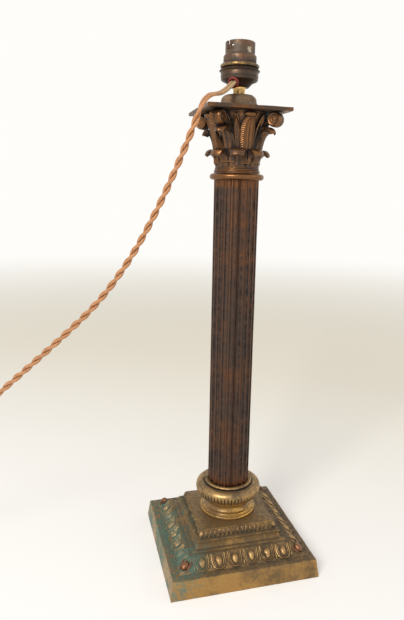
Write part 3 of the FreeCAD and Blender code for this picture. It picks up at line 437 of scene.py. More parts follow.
def curve_mesh(points, radius=0.0, sides=0, widths=None, order=0):
    """Mesh of a closed bar along points, or with order the smooth line that they steer."""
    curve = bpy.data.curves.new("bar", "CURVE")
    curve.dimensions = "3D"
    curve.resolution_u = 10
    spline = curve.splines.new("NURBS" if order else "POLY")
    spline.points.add(len(points) - 1)
    for k, (spot, point) in enumerate(zip(spline.points, points)):
        spot.co = (*point, 1)
        spot.radius = 1.0 if widths is None else widths[k]
    if order:
        spline.order_u = order
        spline.use_endpoint_u = True
    curve.bevel_depth = radius
    curve.bevel_resolution = sides
    curve.use_fill_caps = radius > 0
    holder = bpy.data.objects.new("bar", curve)
    mesh = bpy.data.meshes.new_from_object(holder)
    bpy.data.objects.remove(holder)
    bpy.data.curves.remove(curve)
    return mesh


def tube(points, radius, sides=2, widths=None):
    """Round bar with closed ends along points; widths scales its radius at each of them."""
    mesh = curve_mesh(points, radius, sides, widths)
    bm = bmesh.new()
    bm.from_mesh(mesh)
    bmesh.ops.remove_doubles(bm, verts=bm.verts, dist=1e-7)
    bpy.data.meshes.remove(mesh)
    return bm


def outwards(bm):
    bmesh.ops.recalc_face_normals(bm, faces=bm.faces)
    return bm


def thickened(bm, thick, probe=0):
    """Sheet turned to face away from the lamp's axis at its probe face, then made solid inwards."""
    outwards(bm)
    bm.faces.ensure_lookup_table()
    face = bm.faces[probe]
    if face.normal.dot(face.calc_center_median() * Vector((1, 1, 0))) < 0:
        bmesh.ops.reverse_faces(bm, faces=bm.faces)
    bmesh.ops.solidify(bm, geom=bm.faces[:], thickness=thick)
    return outwards(bm)


def gathered(*parts):
    """One bmesh from (bmesh, [places]) pairs, each part copied to all its places."""
    whole = bmesh.new()
    for part, places in parts:
        mesh = bpy.data.meshes.new("part")
        part.to_mesh(mesh)
        part.free()
        for place in places:
            copy = mesh.copy()
            copy.transform(place)
            whole.from_mesh(copy)
            bpy.data.meshes.remove(copy)
        bpy.data.meshes.remove(mesh)
    return whole


def turned(degrees, axis="Z", size=4):
    return Matrix.Rotation(radians(degrees), size, axis)


def turns(count, first=0.0):
    """Places turned about the lamp's axis, evenly round it."""
    return [turned(first + 360 * k / count) for k in range(count)]


def ball(across, out, up, around=14, rings=10, pinch=0.0):
    """Egg-shaped lump; pinch makes its lower end more pointed."""
    bm = bmesh.new()
    bmesh.ops.create_uvsphere(bm, u_segments=around, v_segments=rings, radius=1)
    for v in bm.verts:
        slim = 1 - pinch * max(0.0, -v.co.z)
        v.co = (v.co.x * across * slim, v.co.y * out * slim, v.co.z * up)
    return bm


def laid(bm):
    """A lump tipped over, so that its pointed end is towards -Y."""
    bmesh.ops.rotate(bm, matrix=turned(-90, "X", 3), verts=bm.verts)
    return bm


def uneven(bm, amount, size):
    """Move the points in and out a little, as on a rough casting."""
    bm.normal_update()
    moves = [(v, v.normal * amount * noise.noise(v.co / size)) for v in bm.verts]
    for v, move in moves:
        v.co += move


# ---- flex ----

FLEX_TURNS, FLEX_PITCH, COIL_R, COIL_CENTRE = 2.75, 0.0066, 0.0315, (-0.4355, 0.0101)
COIL_POINTS = 16
CORE_R, CORE_OUT, TWIST_FROM, TWIST_EASE, TWIST_PITCH = 0.0015, 0.00148, 0.062, 0.004, 0.0235


def coil_points():
    """Control points of the piled coil: in along the floor, up, and out again on top."""
    points = []
    total = int(2 * FLEX_TURNS * COIL_POINTS)
    fit = 2 / (1 + cos(2 * pi / COIL_POINTS))
    for k in range(total + 1):
        u = k / COIL_POINTS
        reach = abs(u - FLEX_TURNS)
        steady = reach if reach > 0.25 else (reach * reach + 0.0625) / 0.5
        r = COIL_R - FLEX_PITCH * FLEX_TURNS / 2 + FLEX_PITCH * steady
        rise = min(max((u - FLEX_TURNS + 0.25) / 0.5, 0.0), 1.0)
        angle = radians(77) + 2 * pi * u
        points.append((COIL_CENTRE[0] + r * fit ** 0.5 * cos(angle),
                       COIL_CENTRE[1] + r * fit ** 0.5 * sin(angle),
                       0.003 + FLEX_PITCH * (3 - 2 * rise) * rise * rise))
    return points


FLEX_ROUTE = [
    (-5.98, -8.23, 454.21), (-13.26, -18.25, 447.06), (-24.6, -28.6, 438.5), (-35.2, -37.0, 436.6),
    (-42.6, -41.0, 429.6), (-46.4, -38.6, 418.0), (-53.2, -35.6, 399.5), (-64.2, -32.2, 372.6),
    (-79.5, -29.0, 339.0), (-98.5, -24.4, 303.5), (-125.0, -18.4, 265.5), (-157.5, -10.8, 233.0),
    (-193.0, -2.6, 200.0), (-228.5, 5.6, 167.5), (-262.0, 13.4, 134.0), (-294.5, 20.9, 100.0),
    (-326.0, 28.1, 67.0), (-354.5, 34.8, 38.5), (-379.5, 40.4, 17.2), (-398.0, 44.1, 5.4),
    (-408.84, 45.59, 3.0),
]
FLEX_END = [(-427.09, -33.49, 9.6), (-416.0, -38.6, 8.2), (-404.0, -41.0, 7.4), (-393.0, -40.0, 9.2),
            (-380.8, -40.0, 9.2)]


def flex_line():
    """The flex's smooth centreline, read from one NURBS spline over its route's points."""
    start, end = ([tuple(c * MM for c in point) for point in part] for part in (FLEX_ROUTE, FLEX_END))
    mesh = curve_mesh([*start, *coil_points(), *end], order=3)
    line = np.array([v.co for v in mesh.vertices])
    bpy.data.meshes.remove(mesh)
    run = np.concatenate([[0], np.cumsum(np.linalg.norm(np.diff(line, axis=0), axis=1))])
    even = np.linspace(0, run[-1], int(run[-1] / 0.0011))
    return np.stack([np.interp(even, run, line[:, k]) for k in range(3)], axis=1), even


def core_lines(line, run):
    """Paths of the two cores: side by side at the lampholder, then twisted to the right."""
    heading = np.gradient(line, axis=0)
    heading /= np.linalg.norm(heading, axis=1)[:, None]
    side = np.cross(heading[0], (0.0, 0.0, 1.0))
    side /= np.linalg.norm(side)
    sides = []
    for h in heading:
        side = side - h * side.dot(h)
        side /= np.linalg.norm(side)
        sides.append(side)
    sides = np.array(sides)
    other = np.cross(heading, sides)
    past = run - TWIST_FROM
    twisted = np.maximum(past, 0) + TWIST_EASE * np.log1p(np.exp(-np.abs(past) / TWIST_EASE))
    turn = 2 * pi * twisted / TWIST_PITCH
    offset = np.cos(turn)[:, None] * sides + np.sin(turn)[:, None] * other
    return line + CORE_OUT * offset, line - CORE_OUT * offset


def silk(name):
    """Braided silk: crossing threads over a gold-copper ground, paler near the lampholder, with painted shade
    in the grooves between the cores.
    """
    material, tree, shader = new_material(name)
    along, round_ = tree.add("SeparateXYZ", {0: tree.add("UVMap").outputs[0]}).outputs[:2]
    threads = []
    for hand in (1, -1):
        lean = tree.scaled(round_, 6.0 * hand, tree.times(along, 900.0))
        threads.append(tree.maths("SINE", tree.times(lean, 2 * pi)))
    weave = tree.maths("MAXIMUM", *threads)
    weave = tree.spread(weave, -0.2, 1.0)
    tufts = tree.noise(tree.place(), 260.0, 4.0)
    away = tree.spread(along, 0.008, 0.03)
    ground = tree.blend(away, (0.70, 0.47, 0.24, 1), (0.68, 0.32, 0.13, 1))
    deep = tree.blend(away, (0.34, 0.19, 0.08, 1), (0.22, 0.07, 0.022, 1))
    shade = tree.blend(weave, deep, ground)
    shade = tree.blend(tree.spread(tufts, 0.35, 0.7, 0.0, 0.55), shade, ground)
    # painted shade in the grooves where the twisted cores shelter each other
    shade = tree.blend(tree.spread(tree.attribute("shelter"), 0.25, 0.9, 0.0, 0.85), shade,
                       (0.13, 0.045, 0.02, 1))
    tree.feed(shader, Base_Color=shade, Roughness=tree.spread(weave, 0.0, 1.0, 0.6, 0.42))
    tree.feed(shader, Sheen_Weight=0.25, Sheen_Roughness=0.4)
    tree.bumps(shader, weave, 0.35, 0.00025)
    return material


def make_flex():
    line, run = flex_line()
    whole = bmesh.new()
    for core in core_lines(line, run):
        mesh = curve_mesh(core, CORE_R, 3)
        whole.from_mesh(mesh)
        bpy.data.meshes.remove(mesh)
    flex = show("flex", whole, silk("flex silk"), crease=80, metres=True,
                replaces=("flex_lead", "flex_coil", "flex_tail"))
    return flex, line


flex, flex_path = make_flex()


# ---- base ----

def plinth_casting():
    """The stepped square base, cast hollow, with mitred mouldings."""
    points = profile(
        (71.6, 0), (72.0, 0.5), (69.6, 17.7), (69.0, 18.3), (EGG_FOOT_HALF, 18.3),
        ((56.44, 23.7), (EGG_TOP_HALF, EGG_TOP)), (46.6, EGG_TOP), (46.4, 28.9), (43.0, 28.9),
        ((41.7, 31.4), (41.2, 34.4)), ((42.1, 35.2), (41.0, 36.1)), (40.6, STEP_TOP),
        (LEAF_FOOT_HALF, STEP_TOP), (LEAF_TOP_HALF + 0.2, 43.0), (36.2, PLATFORM), (5.3, PLATFORM),
        (5.3, 40.6), (32.6, 40.6), (39.6, 24.6), (48.6, 14.9), (65.0, 14.9), (67.6, 0))
    bm = lathe(points, edge=0, quarter=True)
    sides = [e for e in bm.edges if abs(e.verts[0].co.z - e.verts[1].co.z) < 1e-4
             and e.calc_length() > 1.9 * abs(e.verts[0].co.x)]
    bmesh.ops.subdivide_edges(bm, edges=sides, cuts=31, use_grid_fill=True)
    round_edges(bm, 0.35, 24)
    uneven(bm, 0.22, 9)
    edge = 71.98  # so that nothing passes the CAD box
    for v in bm.verts:
        v.co = (max(-edge, min(edge, v.co.x)), max(-edge, min(edge, v.co.y)), max(0.0, v.co.z))
    return bm


def side_places(spots, half, height, run, rise, corner=False):
    """Places on a sloping band round the square: X along it, Y up its slope, Z outwards."""
    slant = hypot(run, rise)
    along, up = run / slant, rise / slant
    tilt = Matrix(((1, 0, 0, 0), (0, along, -up, -half), (0, up, along, height), (0, 0, 0, 1)))
    return [turn @ Matrix.Translation((x, 0, 0)) @ tilt for turn in turns(4, 45 * corner) for x in spots]


def egg_rim(half, top, low):
    """U-shaped raised rim round an egg, open at the top."""
    path = [(-half, top)] + [(-half * cos(t), low - half * sin(t))
                             for t in np.linspace(0, pi, 11)] + [(half, top)]
    bm = tube([(x, y, 0) for x, y in path], 0.75)
    bmesh.ops.scale(bm, vec=(1, 1, 1.5), verts=bm.verts)
    return bm


def egg():
    return laid(ball(3.4, 3.4, 5.0, 14, 11, pinch=0.2))


def dart():
    """Slender dart between two eggs, with an arrow head at its foot."""
    spots = [(0, 6.6, 0), (0, 2.0, 0.1), (0, -2.6, 0.1), (0, -3.0, 0.2), (0, -4.4, 0.1), (0, -7.2, 0)]
    return tube(spots, 1.0, 1, widths=(0.35, 0.75, 0.55, 1.25, 1.05, 0.1))


def egg_bands():
    """Eggs, rims and darts round the base, and the larger eggs on its corners."""
    half = (EGG_FOOT_HALF + EGG_TOP_HALF) / 2
    middle = (SLAB_TOP + EGG_TOP) / 2
    run, rise = EGG_FOOT_HALF - EGG_TOP_HALF, EGG_TOP - SLAB_TOP
    pitch = 2 * half / 7
    eggs = [pitch * (k - 2.5) for k in range(6)]
    darts = [pitch * (k - 3) for k in range(7)]

    def lifted(height):
        return Matrix.Translation((0, 0, height))

    sides = side_places(eggs, half, middle, run, rise)
    between = side_places(darts, half, middle, run, rise)
    corners = side_places([0], half * 2 ** 0.5, middle, run * 2 ** 0.5, rise, corner=True)
    band = gathered((egg_rim(6.3, 6.6, -1.0), [p @ lifted(0.3) for p in sides]),
                    (egg_rim(4.8, 5.6, -0.9), [p @ lifted(0.0) for p in sides]),
                    (dart(), [p @ lifted(0.6) for p in between]),
                    (egg(), [p @ lifted(-0.1) for p in sides]))
    uneven(band, 0.7, 4)
    show("egg_band", band, ornament_brass)
    corner = gathered((egg(), [p @ lifted(0.6) @ Matrix.Diagonal((1.0, 1.0, 0.95, 1)) for p in corners]),
                      (ball(1.3, 0.9, 5.6, 10, 8, 0.3),
                       [p @ lifted(0.1) @ Matrix.Translation((3.9 * s, 0.2, -0.4))
                        @ turned(-7 * s) @ turned(-90, "X") for p in corners for s in (-1, 1)]))
    uneven(corner, 0.5, 4)
    show("corner_eggs", corner, corner_copper)


def small_leaves():
    """Band of small upright leaves with ribs round the step's top."""
    count = 17
    pitch = 2 * LEAF_FOOT_HALF / count
    spots = [pitch * (k - (count - 1) / 2) for k in range(count)]
    run, rise = LEAF_FOOT_HALF - LEAF_TOP_HALF, LEAF_TOP - STEP_TOP
    half, middle = (LEAF_FOOT_HALF + LEAF_TOP_HALF) / 2, (LEAF_TOP + STEP_TOP) / 2
    leaf = laid(ball(1.75, 1.25, 3.5, 10, 8, pinch=0.25))
    rib = tube([(0, 3.2, 0.9), (0, 0, 1.35), (0, -3.0, 0.8)], 0.3, 1)
    places = side_places(spots, half, middle, run, rise)
    corners = side_places([0], half * 2 ** 0.5 - 0.6, middle, run * 2 ** 0.5, rise, corner=True)
    corner = laid(ball(2.2, 1.6, 3.5, 10, 8, pinch=0.25))
    band = gathered((leaf, places), (rib, places), (corner, corners))
    uneven(band, 0.4, 4)
    show("small_leaf_band", band, ornament_brass)


show("plinth_casting", plinth_casting(), base_brass, replaces=("plinth",))
egg_bands()
small_leaves()


# ---- foot, ring, shaft and neck ----

def foot():
    return lathe(profile(
        (5.3, 44.0), (27.2, 44.0), ((28.0, 45.6), (27.2, 47.1)), (25.9, 47.2), (25.8, 47.9),
        ((25.2, 48.1), (24.7, 48.7)), ((21.3, 53.6), (23.6, 57.0)), (24.4, 57.2), (24.4, 58.0),
        (5.3, 58.0), count=10), 128, edge=0.2)


def gadroon():
    """Swelling ring with a row of rounded lobes round its lower half."""
    bm = lathe(profile(
        (5.3, 58.0), (24.0, 58.0), (24.4, 58.4), ((29.8, 61.5), (32.4, 67.8)), ((30.9, 72.2), (24.9, 73.7)),
        (23.4, 73.8), ((23.9, 75.2), (21.6, 76.2)), (20.7, 76.2), (20.7, 74.9), (16.0, 74.9),
        (16.0, 82.6), (5.3, 82.6), count=14), LOBES * 8, edge=0)
    for v in bm.verts:
        r, z = hypot(v.co.x, v.co.y), v.co.z
        if 24.3 < r and z < 71.5:
            part = (atan2(v.co.y, v.co.x) / (2 * pi) * LOBES) % 1 * 2 - 1
            fade = min(1, (z - 58) / 1.5) * min(1, max(0, (70.2 - z) / 2.6))
            cut = LOBE_CUT * fade * (1 - sqrt(max(0, 1 - part * part)))
            v.co.x *= 1 - cut / r
            v.co.y *= 1 - cut / r
    uneven(bm, 0.12, 5)
    return bm


def fluted_shaft():
    """Fluted sheet rolled into a tube, open along its seam."""
    bm = bmesh.new()
    bmesh.ops.create_grid(bm, x_segments=FLUTES * 16, y_segments=40, size=1)
    half = degrees(asin(FLUTE_HALF_WIDTH / SHAFT_R))
    height = NECK - SHAFT_FOOT
    for v in bm.verts:
        angle = SEAM_AT + 180 + v.co.x * 179.3
        z = SHAFT_FOOT + height * (v.co.y + 1) / 2
        off = (angle + 9) % 18 - 9
        share = min(1, abs(off) / half)
        r = SHAFT_R - FLUTE_DEPTH * sqrt(max(0.0, 1 - share ** 2.2))
        wave = noise.noise(Vector((off / 40, angle / 25, z / 30)))
        r += 0.10 * wave
        v.co = (r * cos(radians(angle)), r * sin(radians(angle)), z)
    return thickened(bm, SHEET)


def neck():
    return lathe(profile(
        (5.3, 362.5), (16.0, 362.5), (16.0, 370.5), (21.4, 370.5), ((24.6, 373.3), (21.6, 375.9)),
        (21.2, 376.0), ((20.7, 376.4), (20.6, 377.2)), ((20.9, 377.9), (20.4, 378.5)), (20.0, 378.6),
        ((20.3, 379.4), (19.9, 380.1)), (5.3, 380.1)), 96, edge=0.15)


show("foot", foot(), foot_gold, replaces=("base_scotia",))
show("lobed_ring", gadroon(), ring_brass, replaces=("gadroon_ring",))
show("fluted_tube", fluted_shaft(), shaft_bronze, replaces=("shaft",))
show("neck_moulding", neck(), capital_bronze, replaces=("neck_ring",))


# ---- capital ----

def frond(spine, widths, relief, thick, across, along):
    """Leaf on the bell, growing along +X: a grid laid on a spine of (out, up) points.

    widths gives its half-width along it, relief(s, t) what stands off its face at s across and t along."""
    line = smooth_line(spine)
    slope = np.gradient(line, axis=0)
    slope /= np.linalg.norm(slope, axis=1)[:, None]
    steps = np.linspace(0, 1, len(line))
    wide_t, wide = np.array(widths).T
    bm = bmesh.new()
    bmesh.ops.create_grid(bm, x_segments=across, y_segments=along, size=1)
    for v in bm.verts:
        s, t = v.co.x, (v.co.y + 1) / 2
        out, up = (float(np.interp(t, steps, line[:, k])) for k in (0, 1))
        ahead, climb = (float(np.interp(t, steps, slope[:, k])) for k in (0, 1))
        half = float(np.interp(t, wide_t, wide))
        raised = relief(s, t)
        r, z = out + climb * raised, up - ahead * raised
        angle = s * half / max(out, BELL_R)
        v.co = (r * cos(angle), r * sin(angle), z)
    return thickened(bm, thick, across // 2)


def fluted_relief(flutes, depth, stop, rib=0.3, rim=0.2):
    """Upright flutes that fade out above stop, with a midrib and a raised rim."""
    def relief(s, t):
        fade = 1 - min(1, max(0, (t - stop) / 0.18))
        waves = depth * 0.5 * (1 + cos(s * pi * flutes)) * fade * min(1, t / 0.15)
        ribs = rib * exp(-(s / 0.12) ** 2) * (0.4 + 0.6 * fade)
        ribs += rim * exp(-((abs(s) - 0.94) / 0.1) ** 2)
        return waves + ribs * min(1, t / 0.15)
    return relief


def bell():
    return lathe(profile(
        (15.2, CAPITAL), (19.4, CAPITAL), ((19.9, 380.8), (19.4, 381.5)), (18.8, 381.9),
        ((20.6, 409.6), (BELL_LIP_R, 424.4)), (BELL_LIP_R, 426.0), (28.0, 426.4), (28.0, ABACUS),
        (15.2, ABACUS), count=16), 96, edge=0.2)


def solid_leaf(loop, relief, around, bow, across=16):
    """Thick leaf from a closed side outline of (out, up, half-width), from its foot round its tip.

    bow is how far its edges fall back at the tip."""
    z, r = CAPITAL, BELL_R
    line = smooth_line(loop, around + 1)
    out_way = np.gradient(line[:, :2], axis=0)
    out_way = np.stack([out_way[:, 1], -out_way[:, 0]], axis=1)
    out_way /= np.linalg.norm(out_way, axis=1)[:, None]
    far = line[:, 0].max()
    tip = int(np.argmax(line[:, 0]))
    bm = bmesh.new()
    bmesh.ops.create_grid(bm, x_segments=across, y_segments=around, size=1)
    for v in bm.verts:
        s, k = v.co.x, round((v.co.y + 1) / 2 * around)
        out, up, half = line[k]
        raised = relief(s, k / tip) if k < tip else 0.0
        out, up = out + out_way[k][0] * raised, up + out_way[k][1] * raised
        reach = max(0.0, out / far)
        out -= bow * s * s * reach
        up -= 0.5 * bow * s * s * reach ** 2
        angle = s * half / (r + max(out, 0))
        v.co = ((r + out) * cos(angle), (r + out) * sin(angle), z + up)
    bmesh.ops.remove_doubles(bm, verts=bm.verts, dist=0.01)
    rims = [e for e in bm.edges if len(e.link_faces) == 1]
    bmesh.ops.holes_fill(bm, edges=rims)
    return outwards(bm)


def low_leaves():
    """Eight leaves round the foot, their thick tips curled out and down."""
    loop = [(0.7, 1.0, 7.9), (0.8, 4.0, 7.9), (1.3, 7.6, 8.1), (2.6, 10.6, 8.3), (5.0, 12.4, 8.0),
            (7.6, 12.8, 7.2), (9.6, 12.2, 6.4), (10.5, 11.0, 5.6), (10.4, 12.4, 6.0),
            (9.4, 14.6, 6.8), (7.8, 16.0, 7.4), (6.0, 16.5, 7.8), (4.2, 15.8, 8.1), (2.4, 13.8, 8.2),
            (-0.8, 10.0, 8.1), (-0.8, 1.0, 7.9)]
    leaf = solid_leaf(loop, fluted_relief(3, 0.5, 0.66), 56, bow=1.7)
    return gathered((leaf, turns(8, 22.5 + LEAF_TURN)))


def corner_leaves():
    """Four taller leaves that curl under the scrolls."""
    loop = [(1.8, 5.0, 7.6), (2.4, 12.0, 8.2), (3.4, 18.0, 8.6), (5.2, 24.4, 8.8), (7.8, 29.2, 8.4),
            (10.6, 31.4, 7.6), (13.8, 32.0, 6.4), (16.4, 31.2, 5.2), (17.8, 29.6, 4.2), (17.8, 31.4, 4.6),
            (16.2, 33.6, 5.6), (13.4, 35.0, 6.6), (10.6, 35.1, 7.4), (7.8, 33.4, 8.0), (5.2, 29.8, 8.4),
            (2.6, 24.0, 8.6), (-0.6, 18.0, 8.4), (-0.6, 5.0, 7.6)]
    return gathered((solid_leaf(loop, fluted_relief(4, 0.6, 0.72), 76, bow=2.4), turns(4, 45)))


def face_leaves():
    """Four tall leaves with a midrib and slanting veins, one at the middle of each face."""
    z, r = CAPITAL, BELL_R

    def relief(s, t):
        veins = 0.45 * max(0.0, sin(2 * pi * (22 * t + 2.6 * abs(s))))
        inside = max(0.0, 1 - abs(abs(s) - 0.5) / 0.42) * (1.0 if s < 0 else 0.12)
        fold = 0.2 * cos(5 * pi * s) if s > 0 else 0.0
        cup = 1.1 * sin(pi * min(1, abs(s)))
        return cup + fold + veins * min(1, 2.2 * inside) + 1.4 * exp(-(s / 0.10) ** 2)

    spine = [(r + out, z + up)
             for out, up in ((1.2, 4), (1.7, 14), (2.8, 24), (4.4, 32), (6.6, 38), (9.0, 42.5))]
    leaf = frond(spine, [(0, 5.0), (0.3, 7.0), (0.55, 8.0), (0.75, 7.4), (0.9, 5.6), (1, 3.6)],
                 relief, 1.6, 28, 132)
    return gathered((leaf, turns(4, LEAF_TURN)))


def buds():
    """Oval curled leaf tips under the abacus at the middle of each face."""
    bud = ball(2.7, 5.9, 2.7, 20, 12)
    for v in bud.verts:
        v.co *= 1 - 0.05 * (1 + cos(v.co.y * 2.6))
    bmesh.ops.translate(bud, vec=(BELL_LIP_R + 1.6, 0, ABACUS - 3.1), verts=bud.verts)
    curl = tube([(27.4, -3.4, ABACUS - 5.4), (28.4, 0, ABACUS - 6.1), (27.4, 3.4, ABACUS - 5.4)], 0.9)
    return gathered((bud, turns(4, LEAF_TURN)), (curl, turns(4, LEAF_TURN)))


def stalks():
    """Slender pointed blades in V pairs between the face leaves and the scrolls."""
    z, r = CAPITAL, BELL_R

    def relief(s, t):
        return 0.9 * abs(s) ** 1.5

    spine = [(r + out, z + up) for out, up in ((2.2, 15), (3.4, 24), (5.6, 33), (8.8, 40.5), (10.8, 44.5))]
    places = [turned(90 * face + LEAF_TURN + side * spot) @ Matrix.Translation((0, 0, z + 15))
              @ turned(-side * lean, "X") @ Matrix.Translation((0, 0, -z - 15))
              for face in range(4) for side in (-1, 1) for spot, lean in ((21.5, 4), (29.0, 13))]
    blade = frond(spine, [(0, 0.9), (0.25, 1.7), (0.55, 2.1), (0.8, 1.5), (1, 0.15)], relief, 1.1, 8, 18)
    return gathered((blade, places))


def scrolls():
    """Stems that rise to the corners and the round scrolls that they roll into."""
    z, out = CAPITAL, 36.3
    middle = ABACUS - 6.4
    stem_line = smooth_line([(20.8, 0, z + 20), (23.2, 0, z + 29), (27.0, 0, z + 36.2), (31.8, 0, z + 41.4),
                             (out, 0, middle + 5.3)], 14)
    stem = tube(stem_line, 1.2, 3, widths=np.linspace(0.8, 1.1, 14))
    bmesh.ops.scale(stem, vec=(1, 3.4, 1), verts=stem.verts)
    face = [(0, 5.3), (1.0, 5.35), (1.6, 5.0), (2.4, 5.25), (3.2, 5.0), (4.2, 5.3), (5.0, 5.5), (5.7, 5.0),
            (6.2, 3.6), (6.3, 1.8), (6.0, 0.6)]
    drum = lathe([(p, -h) for p, h in face] + face[::-1], 40, closed=False, edge=0)
    bmesh.ops.rotate(drum, matrix=turned(90, "X", 3), verts=drum.verts)
    bmesh.ops.translate(drum, vec=(out, 0, middle), verts=drum.verts)
    return gathered((stem, turns(4, 45)), (drum, turns(4, 45)))


def abacus_plate():
    bm = bmesh.new()
    bmesh.ops.create_cube(bm, size=1)
    bmesh.ops.scale(bm, vec=(2 * ABACUS_HALF, 2 * ABACUS_HALF, 3.0), verts=bm.verts)
    bmesh.ops.translate(bm, vec=(0, 0, ABACUS + 1.5), verts=bm.verts)
    bmesh.ops.subdivide_edges(bm, edges=bm.edges[:], cuts=11, use_grid_fill=True)
    round_edges(bm, 1.1, 40, 3)
    uneven(bm, 0.25, 8)
    return bm


capital_pieces = [
    show("capital_" + make.__name__, make(), capital_bronze, replaces=stands_for)
    for make, stands_for in ((bell, ("capital",)), (low_leaves, ()), (corner_leaves, ()), (face_leaves, ()),
                             (buds, ()), (stalks, ()), (scrolls, ()))]
capital_pieces.append(
    show("abacus_plate", abacus_plate(), capital_bronze, replaces=("abacus",)))


# ---- cap, collar and lampholder ----

def refinished(name, node, finish, body="lamp", edge=0.0, crease=30):
    """A CAD node's own shape, joined up, with its sharp edges softened and a finish."""
    bm = bmesh.new()
    bm.from_mesh(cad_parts[node].data)
    bmesh.ops.remove_doubles(bm, verts=bm.verts, dist=2e-6)
    bmesh.ops.dissolve_limit(bm, angle_limit=radians(1.5), verts=bm.verts, edges=bm.edges)
    if edge:
        round_edges(bm, edge * MM, 35)
    return show(name, bm, finish, body, crease, (node,), metres=True)


def turned_cap():
    return lathe(profile(
        (5.3, CAP), (19.8, CAP), (19.8, 432.4), ((17.4, 434.4), (15.7, 437.2)),
        ((15.0, 440.4), (13.3, 442.0)), (12.6, COLLAR), (5.3, COLLAR), count=12), 96, edge=0.2)


def collar():
    return lathe(profile(
        (5.1, COLLAR), (5.9, COLLAR), ((5.2, 445.8), (5.9, HOLDER)), (5.1, HOLDER)), 64, edge=0.15)


def holder_shell():
    """Spun cap: a neck, a cone, a shoulder and a wall with a rolled line round it."""
    return lathe(profile(
        (5.1, HOLDER), (8.2, HOLDER), (8.4, 449.5), ((9.9, 451.0), (11.6, 452.7)), (14.4, 454.2),
        ((16.1, 455.2), (16.3, 456.4)), (16.3, 457.3), (16.6, 457.6), (16.6, 458.1), (16.4, 458.4),
        (16.4, 460.8), (15.2, 460.8), (15.2, 456.4), (10.9, 454.0), (7.4, 454.0), (7.4, 455.2),
        (5.1, 455.2), count=6), 96, edge=0.15)


def flange():
    """Sharp-lipped ring with a neck above it, that clamps the holder's cap."""
    return lathe(profile(
        (14.7, 460.8), (16.5, 460.8), ((16.6, 461.8), (17.6, 462.4)), ((17.8, 462.7), (17.6, 463.0)),
        ((16.4, 463.6), (15.6, 464.6)), (14.7, 464.6)), 96, edge=0)


def shade_ring():
    """Brass ring with a full round rim."""
    inner, outer, low, high, rim = 14.5, 17.1, 465.0, 468.0, 1.5
    return lathe(profile(
        (inner, low), (outer - rim, low), ((outer, (low + high) / 2), (outer - rim, high)), (inner, high),
        count=14), 96, edge=0)


for name, shape, finish, slot, body, node in (
        ("turned_cap", turned_cap, cap_bronze, "brown_brass", "lamp", "abacus_cap"),
        ("collar", collar, bright_brass, "polished_brass", "lamp", "rod_collar"),
        ("holder_shell", holder_shell, holder_brown, "holder_brown", "lamp", "holder_cap"),
        ("rim_ring", flange, holder_brown, "holder_brown", "lamp", "coupling_ring"),
        ("bright_ring", shade_ring, ring_gold, "polished_brass", "shade_ring", "shade_ring")):
    show(name, shape(), finish, body, replaces=(node,))
for name, node, finish, slot, body, edge, crease in (
        ("barrel", "holder_barrel", barrel_copper, "holder_brown", "lamp", 0.12, 30),
        ("exit_bush", "cord_grommet", red_rubber, "red_rubber", "lamp", 0.0, 60),
        ("contact_block", "holder_core", insulator, "insulator", "lamp", 0.15, 30),
        ("terminals", "terminal_screws", bright_brass, "contact_brass", "lamp", 0.1, 30),
        ("contact_left", "plunger_left", bright_brass, "contact_brass", "plunger_left", 0.0, 50),
        ("contact_right", "plunger_right", bright_brass, "contact_brass", "plunger_right", 0.0, 50),
        ("rod", "tie_rod", steel, "steel", "lamp", 0.0, 50),
        ("washer", "base_washer", steel, "steel", "lamp", 0.2, 30),
        ("nut", "base_nut", steel, "steel", "lamp", 0.4, 30)):
    refinished(name, node, finish, body, edge, crease)


def contact_spring(node):
    """Coiled spring in the room that the CAD keeps for it under a contact."""
    low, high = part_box(node)
    centre, r = (low + high) / 2, (high.x - low.x) / 2 - 0.00018
    steps = 60
    points = [(centre.x + r * cos(a), centre.y + r * sin(a),
               low.z + 0.0002 + (high.z - low.z - 0.0004) * k / steps)
              for k, a in enumerate(np.linspace(0, 2 * pi * 3.5, steps + 1))]
    side = node.split("_")[-1]
    piece = show("spring_" + side, tube(points, 0.00017, 1), steel, metres=True, crease=80)
    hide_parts(node)
    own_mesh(piece)


contact_spring("plunger_spring_left")
contact_spring("plunger_spring_right")


# ---- plug ----

plug = [refinished(name, "plug_" + node, finish, edge=edge, crease=crease)
        for name, node, finish, slot, edge, crease in (
            ("plug_shell", "cover", plug_black, "plug_black", 0.0, 32),
            ("plug_face", "base", plug_black, "plug_black", 0.5, 32),
            ("earth_pin", "earth_pin", bright_brass, "contact_brass", 0.2, 30),
            ("line_pin", "line_pin", bright_brass, "contact_brass", 0.2, 30),
            ("neutral_pin", "neutral_pin", bright_brass, "contact_brass", 0.2, 30),
            ("fuse", "fuse", fuse_ceramic, "fuse_ceramic", 0.3, 30),
            ("cord_grip", "cord_grip", grip_fibre, "fibre", 0.2, 30),
            ("closing_screw", "screw", steel, "steel", 0.15, 30))]


# ---- hollows and worn edges ----

